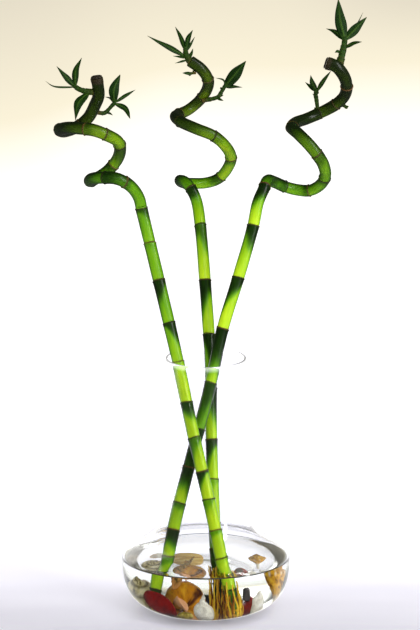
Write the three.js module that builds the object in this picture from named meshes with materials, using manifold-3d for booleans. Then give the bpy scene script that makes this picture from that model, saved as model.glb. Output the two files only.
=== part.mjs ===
// Three curly lucky bamboo canes standing in a clear glass vase with water, shells and smooth stones.
// Millimetres, +Z up, the photo's front is -Y and its right is +X. The foot's centre is the origin.
import * as THREE from 'three';
import { ConvexGeometry } from 'three/addons/geometries/ConvexGeometry.js';
import { mergeVertices } from 'three/addons/utils/BufferGeometryUtils.js';
import Module from 'manifold-3d';

const wasm = await Module();
wasm.setup();
const { Manifold } = wasm;

// Driving dimensions
const GAP = 0.3; // between two pieces that touch on the real thing
const SHIFT = 1.6 * GAP; // moves a piece this far along each axis to keep a slanted side a gap away
const VASE_HEIGHT = 253;
const FOOT_RADIUS = 40;
const BOWL_RADIUS = 84.6;
const BOWL_WIDEST = 49; // height of the bowl's widest level
const WAIST_RADIUS = 30;
const WAIST_HEIGHT = 168;
const MOUTH_RADIUS = 40.5;
const WALL = 2.4;
const FLOOR = 4.6; // thickness of the glass under the water
const MOUTH_TILT = 0.17; // rise of the oblique mouth per millimetre towards the back
const WATER_LEVEL = 53;
const VASE_FACETS = 34;
const CANE_RADIUS = 6.1;
const FOOT_TAPER = 0.18; // share of its radius that a cane loses down to its foot
const TAPER_LENGTH = 55;
const NODE_RIDGE = 0.45; // how far a leaf scar ring stands out from its cane
const CANE_FACETS = 10;
const HOLE_RADIUS = 7.5; // of the hole that a cane stands in
const LEAF_THICKNESS = 0.9;

const COLOURS = {
  glass: 0xdfe9e4,
  water: 0xe6efdc,
  cane: 0x5f9a1c,
  leaf: 0x1f4a14,
  seal: 0x14160e,
  root: 0xa0551c,
  amber: 0xb5651d,
  cream: 0xd9cdb4,
  olive: 0x8a8a5a,
  red: 0x5a1512,
  dark: 0x2a1c26,
};

const vec = (p) => new THREE.Vector3(p[0], p[1], p[2]);

const path = (points) => new THREE.CatmullRomCurve3(points.map(vec), false, 'centripetal');

// Solids

function toManifold(geometry) {
  const g = geometry.clone();
  g.deleteAttribute('normal');
  g.deleteAttribute('uv');
  const m = mergeVertices(g, 1e-4);
  const positions = m.attributes.position.array;
  return new Manifold(new wasm.Mesh({
    numProp: 3,
    vertProperties: new Float32Array(positions),
    triVerts: new Uint32Array(dropSlivers(m.index.array)),
  }));
}

// A lathe or a fan leaves triangles with two equal corners where it meets its axis.
function dropSlivers(index) {
  const kept = [];
  for (let i = 0; i < index.length; i += 3) {
    const [a, b, c] = [index[i], index[i + 1], index[i + 2]];
    if (a !== b && b !== c && a !== c) {
      kept.push(a, b, c);
    }
  }
  return kept;
}

function toGeometry(solid) {
  const mesh = solid.getMesh();
  const positions = new Float32Array(mesh.numVert * 3);
  for (let i = 0; i < mesh.numVert; i += 1) {
    for (let k = 0; k < 3; k += 1) {
      positions[3 * i + k] = mesh.vertProperties[i * mesh.numProp + k];
    }
  }
  const g = new THREE.BufferGeometry();
  g.setAttribute('position', new THREE.BufferAttribute(positions, 3));
  g.setIndex(new THREE.BufferAttribute(new Uint32Array(mesh.triVerts), 1));
  g.computeVertexNormals();
  return g;
}

const union = (solids) => solids.reduce((all, s) => all.add(s));

// Moves every vertex of a geometry by a function that changes the point it is given.
function reshaped(geometry, move) {
  const position = geometry.attributes.position;
  const point = new THREE.Vector3();
  for (let i = 0; i < position.count; i += 1) {
    point.fromBufferAttribute(position, i);
    move(point);
    position.setXYZ(i, point.x, point.y, point.z);
  }
  return geometry;
}

// Turns a profile of [radius, height] pairs about Z.
function turned(profile, facets, move = () => {}) {
  const lathe = new THREE.LatheGeometry(profile.map(([r, z]) => new THREE.Vector2(r, z)), facets);
  lathe.rotateX(Math.PI / 2);
  return toManifold(reshaped(lathe, move));
}

// The tight skin round a set of points.
const wrapped = (points) => toManifold(new ConvexGeometry(points));

function pointsOf(geometry) {
  const position = geometry.attributes.position;
  const points = [];
  for (let i = 0; i < position.count; i += 1) {
    points.push(new THREE.Vector3().fromBufferAttribute(position, i));
  }
  return points;
}

// Bends a turned rod of radius 1 along a curve and stretches its section: stations are distances along
// the curve, and halvesAt gives the section's half widths there, first along the start side, then across it.
function bentRod(curve, stations, halvesAt, facets, startSide = new THREE.Vector3(1, 0, 0)) {
  const length = curve.getLength();
  const profile = [new THREE.Vector2(0, 0)];
  stations.forEach((s) => profile.push(new THREE.Vector2(1, s)));
  profile.push(new THREE.Vector2(0, length));
  const lathe = new THREE.LatheGeometry(profile, facets);
  const frames = [];
  let side = startSide;
  stations.forEach((s) => {
    const u = Math.min(1, s / length);
    const along = curve.getTangentAt(u);
    const [half, depth] = halvesAt(s);
    side = side.clone().addScaledVector(along, -side.dot(along)).normalize();
    const up = new THREE.Vector3().crossVectors(along, side);
    frames.push({ at: curve.getPointAt(u), side, up, half, depth });
  });
  const rows = profile.length;
  const position = lathe.attributes.position;
  for (let i = 0; i < position.count; i += 1) {
    const frame = frames[Math.min(stations.length - 1, Math.max(0, (i % rows) - 1))];
    const moved = frame.at.clone()
      .addScaledVector(frame.side, position.getX(i) * frame.half)
      .addScaledVector(frame.up, -position.getZ(i) * frame.depth);
    position.setXYZ(i, moved.x, moved.y, moved.z);
  }
  return toManifold(lathe);
}

const evenly = (length, count) => Array.from({ length: count + 1 }, (_, i) => (length * i) / count);

const round = (radius) => [radius, radius];

// A thin round shoot, root or twig that tapers from one radius to another.
function rod(points, startRadius, endRadius, steps = 5, facets = 6) {
  const curve = path(points);
  const length = curve.getLength();
  const halvesAt = (s) => round(startRadius + (endRadius - startRadius) * (s / length));
  return bentRod(curve, evenly(length, steps), halvesAt, facets);
}

// A lance-shaped leaf from its base over its middle to its tip. The section is a flat lozenge.
function leaf(base, middle, tip, width) {
  const curve = path([base, middle, tip]);
  const length = curve.getLength();
  const along = vec(tip).sub(vec(base)).normalize();
  const toViewer = new THREE.Vector3(0, -1, 0.25);
  const across = new THREE.Vector3().crossVectors(along, toViewer).normalize();
  const halvesAt = (s) => {
    const swell = Math.sin(Math.PI * (0.12 + 0.85 * (s / length) ** 0.85));
    return [Math.max(0.5, (width / 2) * swell), LEAF_THICKNESS / 2];
  };
  return bentRod(curve, evenly(length, 5), halvesAt, 4, across);
}

// Vase

const outerProfile = new THREE.SplineCurve([
  [FOOT_RADIUS, 0],
  [50, 3.2],
  [65, 8.7],
  [76.3, 18],
  [82.7, 32],
  [BOWL_RADIUS, BOWL_WIDEST],
  [83, 57.5],
  [74, 65],
  [62, 72],
  [52, 81],
  [42.5, 98],
  [36.5, 122],
  [31.5, 150],
  [WAIST_RADIUS, WAIST_HEIGHT],
  [31.5, 190],
  [35, 215],
  [39, 241],
  [MOUTH_RADIUS, VASE_HEIGHT],
].map(([r, z]) => new THREE.Vector2(r, z)));

// The outer profile moved inwards, from the floor's edge up to the mouth.
function wallOffset(distance, floor, top, count) {
  const points = [];
  for (let i = 0; i <= count; i += 1) {
    const t = i / count;
    const at = outerProfile.getPoint(t);
    const along = outerProfile.getTangent(t);
    const z = at.y + along.x * distance;
    const r = at.x - along.y * distance;
    if (z > floor + 0.1 && z < top) {
      points.push([r, z]);
    }
  }
  return points;
}

const outerWall = outerProfile.getPoints(17).map((p) => [p.x, p.y]);
const innerWall = wallOffset(WALL, FLOOR, VASE_HEIGHT + 1, 17);
const innerFloorRadius = FOOT_RADIUS + 6;

function tiltMouth(point) {
  const reach = THREE.MathUtils.smoothstep(point.z, WAIST_HEIGHT, VASE_HEIGHT);
  point.z += MOUTH_TILT * point.y * reach;
}

const lip = [
  [MOUTH_RADIUS - 0.5, VASE_HEIGHT + 0.9],
  [MOUTH_RADIUS - WALL / 2, VASE_HEIGHT + 1.3],
  [MOUTH_RADIUS - WALL + 0.4, VASE_HEIGHT + 0.9],
];
const vase = turned([
  [0, 0],
  ...outerWall,
  ...lip,
  ...innerWall.slice().reverse(),
  [innerFloorRadius, FLOOR],
  [0, FLOOR],
], VASE_FACETS, tiltMouth);

// Canes. Points in millimetres from the foot up: the straight stem, then the left-handed curl.

const caneLeft = {
  points: [
    [25.5, -47, 10.9], [5.2, -29, 106], [-11, -15, 174], [-28, -4, 251], [-47, 7, 330], [-65, 17, 403],
    [-67, 13, 413], [-72, 4, 422], [-79, -4, 428], [-89, -9, 432], [-103, -5, 433], [-114, 8, 433],
    [-118, 24, 432], [-113, 39, 436], [-102, 44, 444], [-92, 37, 454], [-87, 22, 463], [-88, 8, 470],
    [-98, -5, 475], [-110, -10, 479], [-123, -8, 481], [-138, 3, 483], [-148, 20, 483], [-145, 38, 484],
    [-134, 49, 490], [-122, 46, 499], [-114, 36, 510], [-109, 27, 519], [-109, 21, 527], [-110, 17, 535],
  ],
  rings: [
    25, 51, 79, 110, 138, 172, 208, 249, 289, 333, 372, 409, 445, 475, 512, 547, 573, 607, 632, 668, 711,
  ],
};

const caneMiddle = {
  points: [
    [13, -35, 8.9], [7.6, -9, 110], [5.6, 9, 178], [5, 25, 240], [-1, 48, 330], [-6, 63, 388],
    [-10, 73, 414], [-15, 74, 426], [-22, 79, 435], [-28, 91, 438], [-26, 106, 437], [-15, 118, 437],
    [0, 124, 438], [13, 119, 442], [23, 108, 452], [27, 94, 463], [20, 77, 474], [8, 68, 483],
    [-10, 65, 490], [-26, 73, 498], [-33, 90, 506], [-30, 106, 511], [-19, 117, 518], [-7, 116, 528],
    [1, 104, 538], [2, 90, 546], [-5, 80, 555], [-17, 76, 563],
  ],
  rings: [30, 58, 84, 127, 167, 219, 275, 333, 393, 436, 480, 528, 560, 599, 641, 677, 714, 744],
};

const caneRight = {
  points: [
    [-45.5, -36, 14.5], [-31, -19, 87], [-17, -5, 144], [5, 6, 228], [17, 11, 282],
    [33, 17, 334], [48, 21, 386], [53, 22, 410], [59, 25, 424], [63, 34, 433], [71, 49, 433],
    [83, 60, 429], [96, 64, 426], [109, 60, 425], [119, 50, 430], [123, 38, 438], [119, 22, 449],
    [112, 14, 458], [103, 11, 468], [94, 16, 478], [88, 31, 487], [93, 47, 494], [106, 60, 500],
    [121, 64, 507], [135, 58, 514], [143, 47, 521], [144, 34, 529], [139, 21, 538], [130, 14, 546],
    [121, 14, 549],
  ],
  rings: [19, 46, 73, 100, 137, 176, 224, 280, 334, 389, 432, 476, 504, 532, 569, 616, 669, 689, 719],
};

// A ring is a narrow ridge with a slow swelling under it.
function caneHalves(rings, length) {
  return (s) => {
    let r = CANE_RADIUS * (1 - FOOT_TAPER * (1 - THREE.MathUtils.smoothstep(s, 0, TAPER_LENGTH)));
    rings.forEach((at) => {
      const d = s - at;
      r += NODE_RIDGE * Math.exp(-((d / 0.9) ** 2));
      r += d < 0 ? 0.35 * Math.exp(d / 5) : 0;
    });
    return round(s < 0.5 || s > length - 0.5 ? r - 0.5 : r);
  };
}

function caneStations(rings, length) {
  const stations = [0, 0.8, length - 0.8, length];
  rings.forEach((at) => stations.push(at - 1.5, at, at + 1.2));
  const curlStart = 400;
  for (let s = 14; s < length - 4; s += s < curlStart ? 30 : 12.5) {
    if (rings.every((at) => Math.abs(s - at) > 5)) {
      stations.push(s);
    }
  }
  return stations.sort((a, b) => a - b);
}

function cane({ points, rings }) {
  const curve = path(points);
  const length = curve.getLength();
  return bentRod(curve, caneStations(rings, length), caneHalves(rings, length), CANE_FACETS);
}

const canes = {
  cane_left: cane(caneLeft),
  cane_middle: cane(caneMiddle),
  cane_right: cane(caneRight),
};

// The dark dried cap on a cut end, a shallow dome just off the cut.
function endSeal({ points }) {
  const curve = path(points);
  const end = curve.getPointAt(1);
  const along = curve.getTangentAt(1);
  const cap = turned([[0, GAP], [5.3, GAP], [5.6, 0.9], [4.2, 1.7], [0, 2.1]], CANE_FACETS);
  const turn = new THREE.Quaternion().setFromUnitVectors(new THREE.Vector3(0, 0, 1), along);
  return placed(cap, new THREE.Matrix4().compose(end, turn, new THREE.Vector3(1, 1, 1)));
}

function placed(solid, matrix) {
  return solid.transform(matrix.elements);
}

// Shoots. Each is a stem with its blades sunk into it.

function shoot(stem, startRadius, endRadius, blades, host) {
  const pieces = [rod(stem, startRadius, endRadius)];
  blades.forEach(([base, middle, tip, width]) => pieces.push(leaf(base, middle, tip, width)));
  return clearOf(union(pieces), host);
}

// Cuts a growth back so that it ends a gap short of the cane that it grows from.
function clearOf(growth, host) {
  let cut = growth;
  const steps = [[1, 0, 0], [-1, 0, 0], [0, 1, 0], [0, -1, 0], [0, 0, 1], [0, 0, -1]];
  steps.forEach((step) => {
    cut = cut.subtract(host.translate(step.map((k) => k * SHIFT)));
  });
  return largest(cut);
}

const largest = (solid) => solid.decompose().sort((a, b) => b.volume() - a.volume())[0];

const shoots = {
  shoot_left_upper: shoot(
    [[-112, 25, 522], [-121, 22, 522], [-128, 20, 524], [-134, 20, 528]], 4.0, 2.2,
    [
      [[-131, 20, 526], [-153, 14, 526], [-161, 12, 531], 2.2],
      [[-132, 20, 526], [-141, 13, 536], [-149, 10, 545], 6.2],
      [[-132, 21, 527], [-132, 26, 544], [-127, 34, 558], 6.8],
      [[-119, 22, 521], [-128, 11, 508], [-131, 12, 492], 9.5],
    ],
    canes.cane_left,
  ),
  shoot_left_side: shoot(
    [[-113, 42, 504], [-105, 46, 504], [-99, 48, 510], [-94, 48, 516]], 2.4, 1.9,
    [
      [[-95, 48, 514], [-95, 44, 527], [-89, 50, 544], 10],
      [[-94, 48, 515], [-84, 54, 523], [-74, 60, 530], 4],
      [[-95, 48, 514], [-84, 46, 509], [-78, 40, 497], 6],
      [[-104, 46, 505], [-99, 44, 503], [-96, 43, 501], 2.4],
      [[-95, 48, 514], [-100, 51, 520], [-105, 50, 521], 2.2],
    ],
    canes.cane_left,
  ),
  shoot_middle_tip: shoot(
    [[-15, 76, 560], [-20, 76, 567], [-22, 77, 574], [-22, 78, 579]], 4.4, 2.2,
    [
      [[-22, 76, 568], [-40, 66, 576], [-61, 56, 585], 6.6],
      [[-22, 77, 574], [-27, 82, 589], [-33, 86, 601], 4.8],
      [[-21, 77, 574], [-19, 75, 586], [-14, 70, 594], 5.6],
      [[-21, 78, 573], [-16, 84, 583], [-12, 88, 591], 2.8],
      [[-20, 77, 565], [-16, 83, 572], [-14, 86, 578], 4.2],
      [[-21, 75, 566], [-29, 68, 566], [-35, 65, 566], 3],
      [[-20, 75, 564], [-27, 70, 561], [-33, 68, 559], 2.6],
    ],
    canes.cane_middle,
  ),
  shoot_middle_side: shoot(
    [[-4, 108, 526], [13, 106, 530], [17, 107, 536], [21, 108, 543]], 2.5, 2.2,
    [
      [[20, 108, 541], [31, 102, 553], [43, 98, 567], 12.8],
      [[20, 108, 541], [30, 116, 543], [40, 122, 543], 4.6],
      [[21, 108, 542], [19, 106, 548], [10, 103, 550], 2.2],
      [[11, 106, 529], [15, 104, 527], [19, 102, 525], 3],
      [[14, 107, 531], [17, 110, 532], [19, 112, 533], 2.6],
    ],
    canes.cane_middle,
  ),
  scale_leaf_middle: shoot(
    [[-11, 79, 551], [-18, 77, 550]], 1.6, 1.3,
    [[[-14, 78, 550], [-19, 76, 550], [-25, 74, 550], 3.8]],
    canes.cane_middle,
  ),
  shoot_right_top: shoot(
    [[134, 17, 546], [137, 18, 558], [139, 18, 567], [140, 18, 576]], 4.4, 2.8,
    [
      [[140, 18, 573], [134, 12, 593], [132, 10, 611], 11],
      [[140, 18, 573], [152, 26, 586], [164, 34, 599], 9],
      [[139, 18, 573], [130, 28, 584], [123, 36, 588], 5.8],
      [[139, 18, 565], [148, 10, 568], [155, 4, 568], 4.8],
      [[140, 19, 574], [153, 32, 590], [161, 38, 605], 1.9],
      [[138, 18, 557], [133, 16, 561], [129, 12, 559], 3.4],
    ],
    canes.cane_right,
  ),
  shoot_right_side: shoot(
    [[118, 63, 505], [116, 60, 518], [115, 60, 526], [116, 60, 531]], 2.1, 2.4,
    [
      [[116, 60, 528], [111, 55, 536], [109, 54, 544], 6.2],
      [[116, 60, 528], [110, 66, 535], [105, 72, 540], 5.2],
      [[116, 60, 528], [122, 60, 538], [131, 62, 550], 4.6],
      [[116, 60, 521], [113, 57, 524], [111, 55, 525], 2.4],
    ],
    canes.cane_right,
  ),
  bud_right: clearOf(rod([[139, 55, 515], [144, 56, 513], [148, 56, 510]], 2.4, 1.6), canes.cane_right),
};

// Lowers a piece into the bowl until it lies a gap above the glass or above what else may carry it.
function setDown(solid, supports = []) {
  const start = Math.max(20, ...supports.map((support) => support.boundingBox().max[2] + 1));
  let seated = solid.translate([0, 0, start - solid.boundingBox().min[2]]);
  const room = () => Math.min(...[vase, ...supports].map((support) => seated.minGap(support, 60)));
  for (let i = 0; i < 12; i += 1) {
    seated = seated.translate([0, 0, GAP - room()]);
  }
  return seated;
}

// Roots. A crown just under the cane's foot, with thin roots that bend out and up round the cane.
function rootTuft({ points }, { count, from, sweep, reach, height }) {
  const curve = path(points);
  const foot = curve.getPointAt(0);
  const along = curve.getTangentAt(0);
  const side = new THREE.Vector3(1, 0, 0).addScaledVector(along, -along.x).normalize();
  const up = new THREE.Vector3().crossVectors(along, side);
  const at = (radius, angle, level) => foot.clone()
    .addScaledVector(along, level)
    .addScaledVector(side, radius * Math.cos(angle))
    .addScaledVector(up, radius * Math.sin(angle))
    .toArray();
  const turn = new THREE.Quaternion().setFromUnitVectors(new THREE.Vector3(0, 0, 1), along);
  const crownHeight = 1.2;
  const crown = turned([[0, 0], [4.2, 0], [4.6, crownHeight], [0, crownHeight]], 10);
  const crownBase = foot.clone().addScaledVector(along, -crownHeight - GAP);
  const pieces = [placed(crown, new THREE.Matrix4().compose(crownBase, turn, new THREE.Vector3(1, 1, 1)))];
  for (let i = 0; i < count; i += 1) {
    const angle = from + (sweep * (i + 0.5)) / count;
    const swing = angle + (i % 2 ? 0.35 : -0.3);
    const top = height * (0.5 + 0.5 * ((i * 0.37) % 1));
    const line = path([
      at(2.6, angle, -1.4),
      at(6.4, angle, -1.4),
      at(7.9, angle, 3),
      at(reach, (angle + swing) / 2, 0.5 * top),
      at(reach, swing, top),
    ]);
    const length = line.getLength();
    const halvesAt = (s) => round(0.85 - (0.25 * s) / length);
    pieces.push(bentRod(line, [0, 3.8, 5.8, 9, 0.6 * length, length], halvesAt, 5));
  }
  return union(pieces);
}

const roots = {
  roots_left: rootTuft(caneLeft, { count: 6, from: -3.4, sweep: 5.2, reach: 8.6, height: 34 }),
  roots_middle: rootTuft(caneMiddle, { count: 5, from: 0.6, sweep: 4.4, reach: 8.7, height: 38 }),
  roots_right: rootTuft(caneRight, { count: 5, from: -1.4, sweep: 5.2, reach: 8.8, height: 24 }),
};

// Shells and stones

function place(solid, position, tiltDegrees, turnDegrees) {
  const tilt = THREE.MathUtils.degToRad(tiltDegrees);
  const turn = THREE.MathUtils.degToRad(turnDegrees);
  const matrix = new THREE.Matrix4().makeRotationZ(turn)
    .multiply(new THREE.Matrix4().makeRotationY(tilt));
  matrix.setPosition(vec(position));
  return placed(solid, matrix);
}

// A coiled snail shell: balls on a cone spiral that grow towards the mouth, wrapped in pairs.
function spiralShell(turns, mouthRadius, tipRadius, coilRadius, height) {
  const steps = Math.round(turns * 4);
  const balls = [];
  for (let i = 0; i <= steps; i += 1) {
    const t = i / steps;
    const angle = 2 * Math.PI * turns * t;
    const radius = tipRadius + (mouthRadius - tipRadius) * t ** 1.6;
    const out = coilRadius * t ** 1.3;
    const ball = new THREE.SphereGeometry(radius, 6, 4)
      .translate(out * Math.cos(angle), out * Math.sin(angle), height * (1 - t));
    balls.push(pointsOf(ball));
  }
  const core = turned([[0, 0], [coilRadius, 0], [tipRadius / 2, height], [0, height]], 10);
  return union([core, ...balls.slice(1).map((ball, i) => wrapped([...balls[i], ...ball]))]);
}

// A knobbed shell that stands on its long narrow canal, with a stepped spire on top.
function canalShell(length, radius) {
  return turned([
    [0, 0],
    [1.3, 0],
    [1.7, 0.28 * length],
    [0.34 * radius, 0.38 * length],
    [0.74 * radius, 0.54 * length],
    [radius, 0.7 * length],
    [0.92 * radius, 0.75 * length],
    [0.58 * radius, 0.81 * length],
    [0.48 * radius, 0.87 * length],
    [0.18 * radius, 0.94 * length],
    [0, length],
  ], 12);
}

// A long pointed shell: whorls that bulge a little and step down to a fine tip.
function turretShell(length, radius, whorls) {
  const profile = [[0, 0], [0.72 * radius, 0]];
  for (let i = 0; i < whorls; i += 1) {
    const [low, high] = [i, i + 1].map((k) => 1 - 0.58 ** (k * (5 / whorls)));
    const middle = low + 0.45 * (high - low);
    profile.push([radius * (1 - middle) * 1.04, length * middle]);
    profile.push([radius * (1 - high) * 0.92, length * high]);
  }
  return turned([...profile, [0, length]], 10);
}

// A smooth pebble: a sphere scaled along its three axes and drawn out to a soft point at one end.
// Its sides flatten towards a block as square goes from 0 to 1.
function pebble(length, width, height, point, square = 0) {
  const sphere = new THREE.SphereGeometry(1, 11, 7).rotateZ(Math.PI / 2);
  const blunt = (value) => Math.sign(value) * Math.abs(value) ** (1 - square);
  return toManifold(reshaped(sphere, (p) => {
    const narrow = 1 - point * Math.max(0, p.x) ** 2;
    p.set(
      (blunt(p.x) * length) / 2,
      (blunt(p.y) * width * narrow) / 2,
      (blunt(p.z) * height * narrow) / 2,
    );
  }));
}

const whelk = setDown(place(spiralShell(2.9, 15.2, 1.8, 4.8, 36), [-18, -29, 0], 80, 94));
const redRight = setDown(place(pebble(25, 14, 20, 0.3), [34.5, -19, 0], 0, 100));
const shells = {
  stone_red_left: setDown(place(pebble(37, 9.5, 19, 0.25), [-41, -49.3, 0], 20, -34)),
  stone_red_right: redRight,
  stone_dark: setDown(place(pebble(6, 5.5, 9.5, 0, 0.5), [33, -26, 0], 0, 20), [redRight]),
  shell_whelk: whelk,
  shell_turret: setDown(place(turretShell(48, 6.6, 6), [-27.5, -46.5, 0], 79, 67), [whelk]),
  shell_fan: setDown(place(pebble(44, 34, 11, 0), [-20, 28, 0], 0, 100)),
  shell_cockle: setDown(place(pebble(17, 11, 9, 0.2), [-19, -57, 0], 10, 160)),
  shell_snail: setDown(place(spiralShell(2.3, 8.5, 1.6, 3, 16), [-3, -55, 0], 10, 300)),
  shell_knobbed: setDown(place(canalShell(42, 9.2), [52.5, 1.5, 0], 9, 95)),
  shell_turban: setDown(place(spiralShell(1.9, 13.5, 5, 4.2, 14), [-52.5, -3, 0], -14, 80)),
  shell_curl: setDown(place(spiralShell(1.5, 5.4, 1.6, 4, 6), [-50, 34, 0], 20, 10)),
  shell_fragment: setDown(place(pebble(13, 6, 23, 0.2), [44.5, -33, 0], 0, 25)),
};

// Water: fills the bowl one gap inside the glass, with a plain open-ended hole round all that stands in it.

function stemHole({ points }) {
  const curve = path(points);
  const foot = curve.getPointAt(0);
  const along = curve.getTangentAt(0);
  const end = (distance) => foot.clone().addScaledVector(along, distance).toArray();
  return rod([end(-2), end(WATER_LEVEL + 8)], HOLE_RADIUS, HOLE_RADIUS, 1, CANE_FACETS);
}

// The skin round a piece, grown by a margin on every side and drawn down through the floor of the water.
function seatHole(solid) {
  const margin = 1.4;
  const box = solid.boundingBox();
  const centre = [0, 1, 2].map((k) => (box.min[k] + box.max[k]) / 2);
  const growth = 1 + (2 * margin) / Math.min(...[0, 1, 2].map((k) => box.max[k] - box.min[k]));
  const mesh = solid.getMesh();
  const points = [];
  for (let i = 0; i < mesh.numVert; i += 1) {
    const [x, y, z] = [0, 1, 2]
      .map((k) => centre[k] + (mesh.vertProperties[i * mesh.numProp + k] - centre[k]) * growth);
    points.push(vec([x, y, z]), vec([x, y, -10]));
  }
  return wrapped(points);
}

const wetWall = wallOffset(WALL + GAP, FLOOR, VASE_HEIGHT, 17);
const under = wetWall.filter(([, z]) => z < WATER_LEVEL);
const [last, next] = [under[under.length - 1], wetWall[under.length]];
const surfaceRadius = last[0] + ((next[0] - last[0]) * (WATER_LEVEL - last[1])) / (next[1] - last[1]);
const fill = turned([
  [0, FLOOR + GAP],
  [innerFloorRadius, FLOOR + GAP],
  ...under,
  [surfaceRadius, WATER_LEVEL],
  [0, WATER_LEVEL],
], VASE_FACETS);

const holes = [
  ...[caneLeft, caneMiddle, caneRight].map(stemHole),
  ...[...Object.values(roots), ...Object.values(shells)].map(seatHole),
];
const water = largest(holes.reduce((left, hole) => left.subtract(hole), fill));

// Assembly

const bamboo = new THREE.Group();
bamboo.name = 'lucky_bamboo';

function add(name, solid, colour, roughness, opacity = 1) {
  const material = new THREE.MeshStandardMaterial({
    color: colour,
    roughness,
    transparent: opacity < 1,
    opacity,
  });
  const mesh = new THREE.Mesh(toGeometry(solid), material);
  mesh.name = name;
  bamboo.add(mesh);
}

add('vase', vase, COLOURS.glass, 0.05, 0.35);
add('water', water, COLOURS.water, 0.1, 0.5);
Object.entries(canes).forEach(([name, solid]) => add(name, solid, COLOURS.cane, 0.35));
add('end_seal_left', endSeal(caneLeft), COLOURS.seal, 0.6);
add('end_seal_right', endSeal(caneRight), COLOURS.seal, 0.6);
Object.entries(shoots).forEach(([name, solid]) => add(name, solid, COLOURS.leaf, 0.45));
Object.entries(roots).forEach(([name, solid]) => add(name, solid, COLOURS.root, 0.6));

const shellColours = {
  stone_red_left: COLOURS.red,
  stone_red_right: COLOURS.red,
  stone_dark: COLOURS.dark,
  shell_whelk: COLOURS.amber,
  shell_turret: COLOURS.amber,
  shell_fan: COLOURS.amber,
  shell_cockle: COLOURS.cream,
  shell_snail: COLOURS.cream,
  shell_knobbed: COLOURS.amber,
  shell_turban: COLOURS.olive,
  shell_curl: COLOURS.cream,
  shell_fragment: COLOURS.cream,
};
Object.entries(shells).forEach(([name, solid]) => add(name, solid, shellColours[name], 0.4));

export default bamboo;
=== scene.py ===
"""Looks for three curly lucky bamboo canes in a clear glass vase with water, shells and stones."""

import math

import bpy
import numpy as np
from mathutils import Matrix, Vector


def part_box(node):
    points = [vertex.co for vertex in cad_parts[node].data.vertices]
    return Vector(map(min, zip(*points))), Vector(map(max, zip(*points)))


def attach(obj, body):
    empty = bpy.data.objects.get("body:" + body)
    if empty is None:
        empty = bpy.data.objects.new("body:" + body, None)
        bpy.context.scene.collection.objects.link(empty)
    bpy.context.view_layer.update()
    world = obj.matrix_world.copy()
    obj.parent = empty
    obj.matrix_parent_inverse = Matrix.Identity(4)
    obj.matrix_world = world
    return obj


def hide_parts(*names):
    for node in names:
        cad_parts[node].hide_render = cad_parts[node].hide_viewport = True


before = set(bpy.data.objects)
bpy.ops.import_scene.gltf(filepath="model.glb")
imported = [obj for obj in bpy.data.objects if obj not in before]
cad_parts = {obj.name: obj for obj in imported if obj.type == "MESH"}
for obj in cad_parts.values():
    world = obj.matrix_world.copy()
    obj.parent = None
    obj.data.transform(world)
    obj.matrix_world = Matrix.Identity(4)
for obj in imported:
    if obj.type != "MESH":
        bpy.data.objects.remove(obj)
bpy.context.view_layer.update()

MM = 0.001

# Camera: eye level just above the vase's mouth, looking slightly down.

EYE = (4.2 * MM, -1050 * MM, 346.7 * MM)
LOOKS_DOWN = 2.73
cam_data = bpy.data.cameras.new("camera")
cam_data.lens = 60.0
cam_data.sensor_width = 36.0
camera = bpy.data.objects.new("camera", cam_data)
bpy.context.collection.objects.link(camera)
camera.location = EYE
camera.rotation_euler = (math.radians(90 - LOOKS_DOWN), 0, 0)
bpy.context.scene.camera = camera
bpy.context.scene.view_settings.view_transform = "Standard"
bpy.context.scene.view_settings.look = "None"


# Mesh helpers. Lengths are millimetres until a mesh is made.

def make_object(name, verts, faces, attributes=()):
    mesh = bpy.data.meshes.new(name)
    mesh.from_pydata((np.asarray(verts) * MM).tolist(), [], [tuple(f) for f in faces])
    mesh.update()
    mesh.polygons.foreach_set("use_smooth", [True] * len(mesh.polygons))
    for key, values in dict(attributes).items():
        values = np.asarray(values, dtype=np.float32)
        kind = "FLOAT" if values.ndim == 1 else "FLOAT_VECTOR"
        layer = mesh.attributes.new(key, kind, "POINT")
        layer.data.foreach_set("value" if values.ndim == 1 else "vector", values.ravel())
    obj = bpy.data.objects.new(name, mesh)
    bpy.context.collection.objects.link(obj)
    return obj


class Build:
    """Gathers vertices, faces and per-vertex values of several forms into one mesh."""

    def __init__(self, keys):
        self.verts, self.faces, self.keys = [], [], keys
        self.values = {k: [] for k in keys}
        self.count = 0

    def add(self, verts, faces, values):
        verts = np.asarray(verts, float)
        self.verts.append(verts)
        self.faces += [tuple(int(i) + self.count for i in f) for f in faces]
        for k in self.keys:
            v = np.asarray(values[k], float)
            if v.ndim == 0 or (v.ndim == 1 and len(v) == 3 and len(verts) != 3):
                v = np.broadcast_to(v, (len(verts),) + v.shape)
            self.values[k].append(v)
        self.count += len(verts)

    def done(self, name):
        values = {k: np.concatenate(self.values[k]) for k in self.keys}
        return make_object(name, np.vstack(self.verts), self.faces, values)


def ring_faces(rings, sides):
    faces = []
    for i in range(rings - 1):
        for j in range(sides):
            a, b = i * sides + j, i * sides + (j + 1) % sides
            faces.append((a, b, b + sides, a + sides))
    return faces


def closed_faces(rings, sides):
    """Faces of the rings, closed by two more vertices: one before the first ring and one after the last."""
    faces = ring_faces(rings, sides)
    first, last, end_ring = rings * sides, rings * sides + 1, (rings - 1) * sides
    for j in range(sides):
        k = (j + 1) % sides
        faces += [(first, k, j), (last, end_ring + j, end_ring + k)]
    return faces


def around(sides):
    return np.linspace(0, 2 * np.pi, sides, endpoint=False)


def unit(vector):
    return vector / np.linalg.norm(vector, axis=-1, keepdims=True)


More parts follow.
